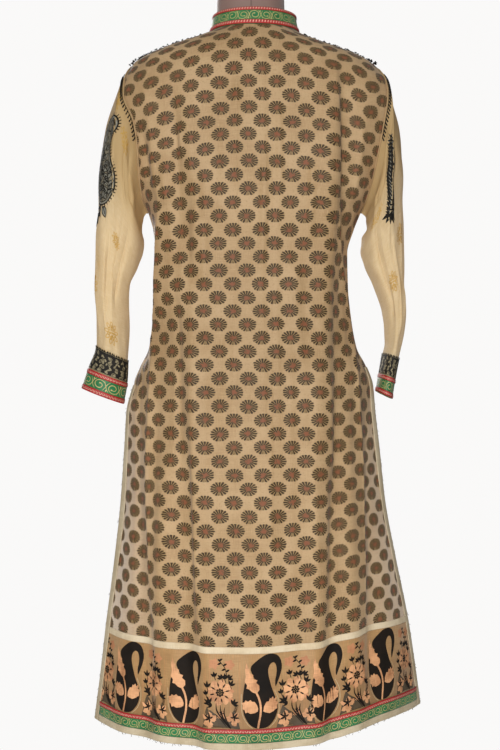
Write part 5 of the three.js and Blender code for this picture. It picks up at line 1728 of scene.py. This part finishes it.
def outlined_leaf(drawing, base, angle, length, width, line, midrib=0.80):
    """A leaf worked in outline only, with its midrib. midrib: as a share of its length."""
    base = np.array(base, float)
    drawing.stroke(closed_line(leaf_outline(base, angle, length, width)), line)
    drawing.stroke([base, base + toward(angle, length * midrib)], line * 0.8)


def veined_leaf(grey, black, base, angle, length, width, line):
    """A grey leaf with a black edge and midrib."""
    grey.leaf(base, angle, length * 0.92, width * 0.86)
    outlined_leaf(black, base, angle, length, width, line, midrib=0.72)


def well_inside(point, outline, margin):
    """Whether a point is inside a closed outline and at least margin from it."""
    x, y = point
    (x1, y1), (x2, y2) = outline.T, np.roll(outline, -1, axis=0).T
    crossed = ((y1 > y) != (y2 > y)) & (x < x1 + (y - y1) * (x2 - x1) / (y2 - y1 + 1e-12))
    return crossed.sum() % 2 == 1 and np.hypot(*(outline - point).T).min() > margin


def sleeve_paisley(name, surface):
    """Black thread over grey net: a toothed outline, an inner line, stems of leaves, a leafy foot."""
    net, grey, black = Drawing(), Drawing(), Drawing()
    outline = spline(SLEEVE_PAISLEY, closed=True, steps=5)
    net.fill(outline)
    loop = closed_line(outline)
    black.stroke(loop, 0.0023)
    outward = leftward(unit(np.gradient(loop, axis=0)))
    black.stroke(loop - outward * 0.0046, 0.0013)
    grey.stroke(loop - outward * 0.0026, 0.0018)
    for i in range(0, len(loop) - 1, 2):
        black.stroke([loop[i], loop[i] + outward[i] * 0.0046], 0.0024, 0.3)
    for row, up in enumerate(np.arange(1.134, 1.236, 0.0125)):
        for i, across in enumerate(np.arange(0.028, 0.080, 0.0105)):
            if well_inside((across, up + 0.005), outline, 0.0064):
                angle = 38 if (i + row) % 2 else -38
                veined_leaf(grey, black, (across, up), angle, 0.0125, 0.0066, 0.0014)
    for points in PAISLEY_STEMS:
        line = spline(points, steps=5)
        black.stroke(line, 0.0018, 0.3)
        for i in range(2, len(line) - 1, 4):
            rise = math.degrees(math.atan2(*(line[i + 1] - line[i - 1])))
            for side in (-48, 48):
                veined_leaf(grey, black, line[i], rise + side, 0.0150, 0.0066, 0.0014)
    curl_turn = np.linspace(0, 2.6 * math.pi, 34)
    size = (0.0115 - 0.0085 * curl_turn / curl_turn[-1])[:, None]
    curl = np.array([0.0570, 1.2460]) + size * circle(curl_turn)
    black.stroke(curl, 0.0021)
    grey.stroke(spline(PAISLEY_HOOK, steps=5), 0.0040, 0.8)
    for across, up, angle in PAISLEY_FOOT_LEAVES:
        veined_leaf(grey, black, (across, up), angle, 0.0190, 0.0084, 0.0017)
    foot = spline(PAISLEY_FOOT, steps=6)
    black.stroke(foot, 0.0022)
    for i, p in enumerate(foot[3::3]):
        black.leaf(p, 150 if i % 2 else -80, 0.0120, 0.0050)
    return [
        net.lay(name + "_net", surface, 0.00025, NET, "embroidery"),
        grey.lay(name + "_leaves", surface, 0.0004, GREY, "embroidery"),
        black.lay(name + "_lines", surface, 0.0006, BLACK, "embroidery"),
    ]


def leafy_strip(name, surface, line, width):
    """A column of black and grey leaves, narrow at its head and ending in a knot of leaves."""
    grey, black = Drawing(), Drawing()
    line = spline(line, steps=8)
    black.stroke(line, 0.0020, 0.5)
    for i in range(1, len(line) - 1, 2):
        share = math.sin(math.pi * (0.08 + 0.55 * i / len(line)))
        for side in (-36, 36):
            black.leaf(line[i], side, width * 0.62 * share + 0.002, 0.0050 * share + 0.0008)
            black.leaf(line[i], side * 2.3, width * 0.44 * share, 0.0032)
            grey.leaf(line[i] + toward(side, 0.0030), side, width * 0.30 * share, 0.0009)
    for angle in (128, 155, 180, 205, 232):
        black.leaf(line[-1] + [0, 0.008], angle, 0.0190, 0.0056)
    for angle in (-62, 62):
        black.leaf(line[-1] + [0, 0.004], angle, 0.0120, 0.0042)
    return [
        black.lay(name + "_lines", surface, 0.0004, BLACK, "embroidery"),
        grey.lay(name + "_leaves", surface, 0.0006, GREY, "embroidery"),
    ]


def gold_flower(drawing, centre, width, height):
    """A round flower of gold running stitches with a leafy edge."""
    for ring, share in ((9, 1.0), (7, 0.66), (4, 0.34)):
        for i in range(ring):
            angle = 360 * i / ring
            direction = toward(angle, 1) * [width / 2, height / 2] * share
            tip = np.array(centre) + direction
            base = np.array(centre) + direction * 0.45
            middle = (base + tip) / 2
            aside = toward(angle + 90, 1) * width * 0.09 * share
            drawing.stroke(spline([base, middle + aside, tip, middle - aside, base], steps=4), 0.0012)
    drawing.dot(centre, width * 0.06)


def sleeve_flowers(name, surface, places):
    """A sleeve's gold flowers."""
    gold = Drawing()
    for across, up, width, height in places:
        gold_flower(gold, (across, up), width, height)
    return gold.lay(name, surface, 0.0003, YELLOW, "plain_cloth")


CUFF_LEAF_PITCH = 0.0066
CUFF_TIERS = 5
CUFF_STITCH_PITCH = 0.0045


def cuff(name, surface, side):
    """The embroidered band above the cuff's braid, and the braid."""
    down = lambda k: np.interp(k, np.linspace(0, SLEEVE_RINGS, len(surface.ups)), surface.ups)
    top, seam, foot = down(10.0), down(11.0), down(SLEEVE_RINGS)
    girth = np.interp(-seam, -surface.ups, surface.reach_high)
    low, high = -surface.origin * girth, (1 - surface.origin) * girth
    band = Band(surface, low, high, seam + SEAM, top)
    base = band.strip(f"{name}_band", band.foot, band.top, SEAM, NET_DARK, "embroidery", count=150)
    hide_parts(f"cuff_embroidery_{side}")
    grey, black = Drawing(), Drawing()
    height = top - seam
    random = np.random.default_rng(7)
    count = round((high - low) / CUFF_LEAF_PITCH)
    for i in range(count):
        for row in range(CUFF_TIERS):
            even = low + (i + 0.5 + 0.5 * (row % 2)) * (high - low) / (count + 1)
            x = even + random.uniform(-0.0012, 0.0012)
            up = seam + height * (0.08 + 0.82 * row / CUFF_TIERS) + random.uniform(-0.0010, 0.0010)
            turn = 50 * (1 if (i + row) % 2 else -1) + random.uniform(-40, 40)
            if (i + row) % 3:
                grey.leaf((x, up), turn, random.uniform(0.0052, 0.0074), random.uniform(0.0024, 0.0036))
            else:
                outlined_leaf(grey, (x, up), turn, 0.0072, 0.0042, 0.0008)
    for share in (0.03, 0.97):
        grey.stroke([(x, seam + height * share) for x in np.linspace(low, high, 90)], 0.0008)
    for i in range(round((high - low) / CUFF_STITCH_PITCH)):
        x = low + 0.0022 + i * CUFF_STITCH_PITCH
        black.leaf((x, top - 0.0012), 12 if i % 2 else -12, 0.0040, 0.0030)
    lift = SEAM + TRIM + THREAD_LIFT
    made = [base, grey.lay(f"{name}_leaves", surface, lift, ASH, "embroidery")]
    made.append(black.lay(f"{name}_stitches", surface, lift + THREAD_LIFT, BLACK, "embroidery"))
    braid_top = down(11.02)
    width = braid_top - foot
    reds = ((foot, foot + 0.24 * width), (braid_top - 0.22 * width, braid_top))
    return made + braid(
        f"{name}_braid", Band(surface, low, high, foot, braid_top), reds, f"cuff_braid_{side}"
    )


THREADS_PER_SLIT = 70
HEM_THREADS = 90


def loose_threads():
    """Frayed ends along the slit facings and the hem."""
    random = np.random.default_rng(9)
    parts = []
    for sign, top in ((-1, SLIT_TOP_LEFT_Z), (1, SLIT_TOP_RIGHT_Z)):
        for up in random.uniform(HEM_Z, top, THREADS_PER_SLIT):
            across = sign * (reach(BACK_SURFACE, up, sign) - 0.0008)
            start = BACK_SURFACE.place(across, up, 0.0006)
            way = np.array([sign, random.uniform(-0.4, 0.4), random.uniform(-0.5, 0.5)])
            out = way * random.uniform(0.0010, 0.0024)
            droop = np.array([random.uniform(-0.001, 0.001), 0, -random.uniform(0.0005, 0.003)])
            line = [start, start + out * 0.6, start + out + droop]
            parts.append(tube(line, random.uniform(0.00015, 0.0003), 4))
    for across in random.uniform(-0.315, 0.335, HEM_THREADS):
        start = BACK_SURFACE.place(across, HEM_Z + 0.0008, 0.0006)
        aside, outward = random.uniform(-0.002, 0.002), random.uniform(-0.001, 0.001)
        out = np.array([aside, outward, -random.uniform(0.0010, 0.0030)])
        bend = np.array([random.uniform(-0.002, 0.002), 0, -random.uniform(0, 0.002)])
        line = [start, start + out * 0.6, start + out + bend]
        parts.append(tube(line, random.uniform(0.00015, 0.00035), 4))
    return tubes("loose_threads", parts, FRAY, "binding")


def neck_band():
    """The narrow band round the neck slit, in the front's cloth."""
    slit_low = NECK_Z - NECK_SLIT
    ups = np.linspace(slit_low - NECK_BAND_WIDTH, NECK_Z - 0.0006, 90)[:, None]
    made = []
    for side, sign in (("left", -1), ("right", 1)):
        share = np.linspace(0, 1, 7)[None, :]
        inner = NECK_SLIT_GAP / 2 * smooth(ups, slit_low - 0.0015, slit_low + 0.0015)
        acrosses = sign * (inner + (NECK_BAND_WIDTH - inner) * share)
        if sign < 0:
            acrosses = acrosses[:, ::-1]
        made.append(strip("neck_band_" + side, FRONT_SURFACE, acrosses, ups, SEAM, BINDING, "binding"))
    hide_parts("neck_slit_band")
    return made


# Gold flowers on the sleeves: across and up their cloth, width and height.
LEFT_FLOWERS = (
    (-0.0349, -0.0180, 0.026, 0.034),
    (-0.0790, -0.0400, 0.032, 0.030),
    (-0.0020, -0.3399, 0.026, 0.036),
    (-0.0401, -0.4080, 0.028, 0.036),
    (-0.0600, -0.2400, 0.022, 0.030),
    (0.0500, -0.1500, 0.020, 0.030),
    (0.0420, -0.3000, 0.020, 0.030),
)
RIGHT_FLOWERS = (
    (-0.0960, -0.1620, 0.040, 0.036),
    (-0.0100, -0.2560, 0.028, 0.034),
    (-0.0440, -0.3224, 0.024, 0.036),
    (0.0500, -0.1500, 0.020, 0.030),
    (0.0450, -0.3400, 0.020, 0.030),
)
RIGHT_STRIP = (
    (-0.0715, 1.2320), (-0.0728, 1.2080), (-0.0724, 1.1830), (-0.0716, 1.1580), (-0.0708, 1.1340),
    (-0.0704, 1.1040),
)

# ---- Trims, figures and embroidery in place ------------------------------------------------------

hem_braid_foot = HEM_Z + HEM_FACING_WIDTH + SEAM
hem_braid_band = Band(BACK_SURFACE, HEM_BRAID_LEFT, HEM_BRAID_RIGHT, hem_braid_foot, BORDER_FOOT_Z)
hem_reds = ((BORDER_FOOT_Z - BRAID_RED, BORDER_FOOT_Z),)
back_trims = trims() + braid("hem_braid", hem_braid_band, hem_reds, "hem_braid")
border_pieces = border_figures()
threads = loose_threads()
knots = shoulder_knots()
collar_pieces = collar()
slit_band = neck_band()

border_sewn = [back_trims[2], *back_trims[4:], *border_pieces, threads]

left_upright = upright(LEFT_SURFACE, np.linspace(1.07, 1.285, 130), rightwards=False)
right_upright = upright(RIGHT_SURFACE, np.linspace(1.05, 1.26, 120), rightwards=True)
left_pieces = [
    *ladder("armhole_ladder_left", LEFT_SURFACE, "armhole_cord_left"),
    *sleeve_paisley("sleeve_paisley_left", left_upright),
    sleeve_flowers("sleeve_flowers_left", LEFT_SURFACE, LEFT_FLOWERS),
    *cuff("cuff_left", LEFT_SURFACE, "left"),
]
right_pieces = [
    *ladder("armhole_ladder_right", RIGHT_SURFACE, "armhole_cord_right"),
    *leafy_strip("sleeve_strip_right", right_upright, RIGHT_STRIP, 0.0250),
    sleeve_flowers("sleeve_flowers_right", RIGHT_SURFACE, RIGHT_FLOWERS),
    *cuff("cuff_right", RIGHT_SURFACE, "right"),
]

# ---- Floor, light and camera ---------------------------------------------------------------------

WALL = (0.955, 0.948, 0.940, 1.0)
ROOM_LIGHT = 0.23  # how strongly the room lights the part, where the wall itself is seen at 1


def stage():
    """A pale floor, short enough that its far edge stays below the picture."""
    xs, ys = np.linspace(-1.1, 1.1, 3), np.linspace(-1.2, 0.75, 3)
    points = np.stack([*np.meshgrid(xs, ys), np.full((3, 3), -0.0005)], -1).reshape(-1, 3)
    mesh = bpy.data.meshes.new("floor")
    mesh.from_pydata(points.tolist(), [], grid_faces(3, 3))
    m = Shade("floor")
    colour = m.mix(m.noise(m.place(), 6.0), paint(240, 240, 238), paint(244, 244, 243))
    mesh.materials.append(m.finish(colour, 0.8))
    floor = bpy.data.objects.new("floor", mesh)
    bpy.context.scene.collection.objects.link(floor)


def light(name, place, aim, size, power):
    """A round lamp of this width in metres and power in watts."""
    lamp = bpy.data.lights.new(name, "AREA")
    lamp.shape, lamp.size, lamp.energy = "DISK", size, power
    made = bpy.data.objects.new(name, lamp)
    made.location = place
    made.rotation_euler = (Vector(aim) - Vector(place)).to_track_quat("-Z", "Y").to_euler()
    bpy.context.scene.collection.objects.link(made)


def world():
    """The pale wall: the camera sees it bright, and it lights the part less."""
    made = bpy.data.worlds.new("studio")
    made.use_nodes = True
    tree = made.node_tree
    background = tree.nodes["Background"]
    background.inputs["Color"].default_value = WALL
    seen = tree.nodes.new("ShaderNodeLightPath").outputs["Is Camera Ray"]
    strength = tree.nodes.new("ShaderNodeMapRange")
    strength.inputs["To Min"].default_value = ROOM_LIGHT
    tree.links.new(seen, strength.inputs["Value"])
    tree.links.new(strength.outputs[0], background.inputs["Strength"])
    bpy.context.scene.world = made


def camera():
    """A level camera at the photograph's distance and angle."""
    lens = bpy.data.cameras.new("camera")
    lens.sensor_fit = "VERTICAL"
    lens.sensor_height = lens.sensor_width = 36.0
    lens.lens = CAMERA_LENS
    made = bpy.data.objects.new("camera", lens)
    made.location = CAMERA_PLACE
    made.rotation_euler = (math.radians(90), 0, 0)
    bpy.context.scene.collection.objects.link(made)
    bpy.context.scene.camera = made


stage()
world()
light("key", (-0.3, -2.7, 1.35), (0.0, 0.0, 0.85), 0.9, 60.0)
light("fill", (0.3, -2.6, 0.5), (0.0, 0.0, 0.85), 1.6, 4.0)
light("rear", (-0.9, 2.4, 1.7), (0.0, 0.0, 0.9), 1.4, 46.0)
camera()
bpy.context.scene.view_settings.view_transform = "Standard"
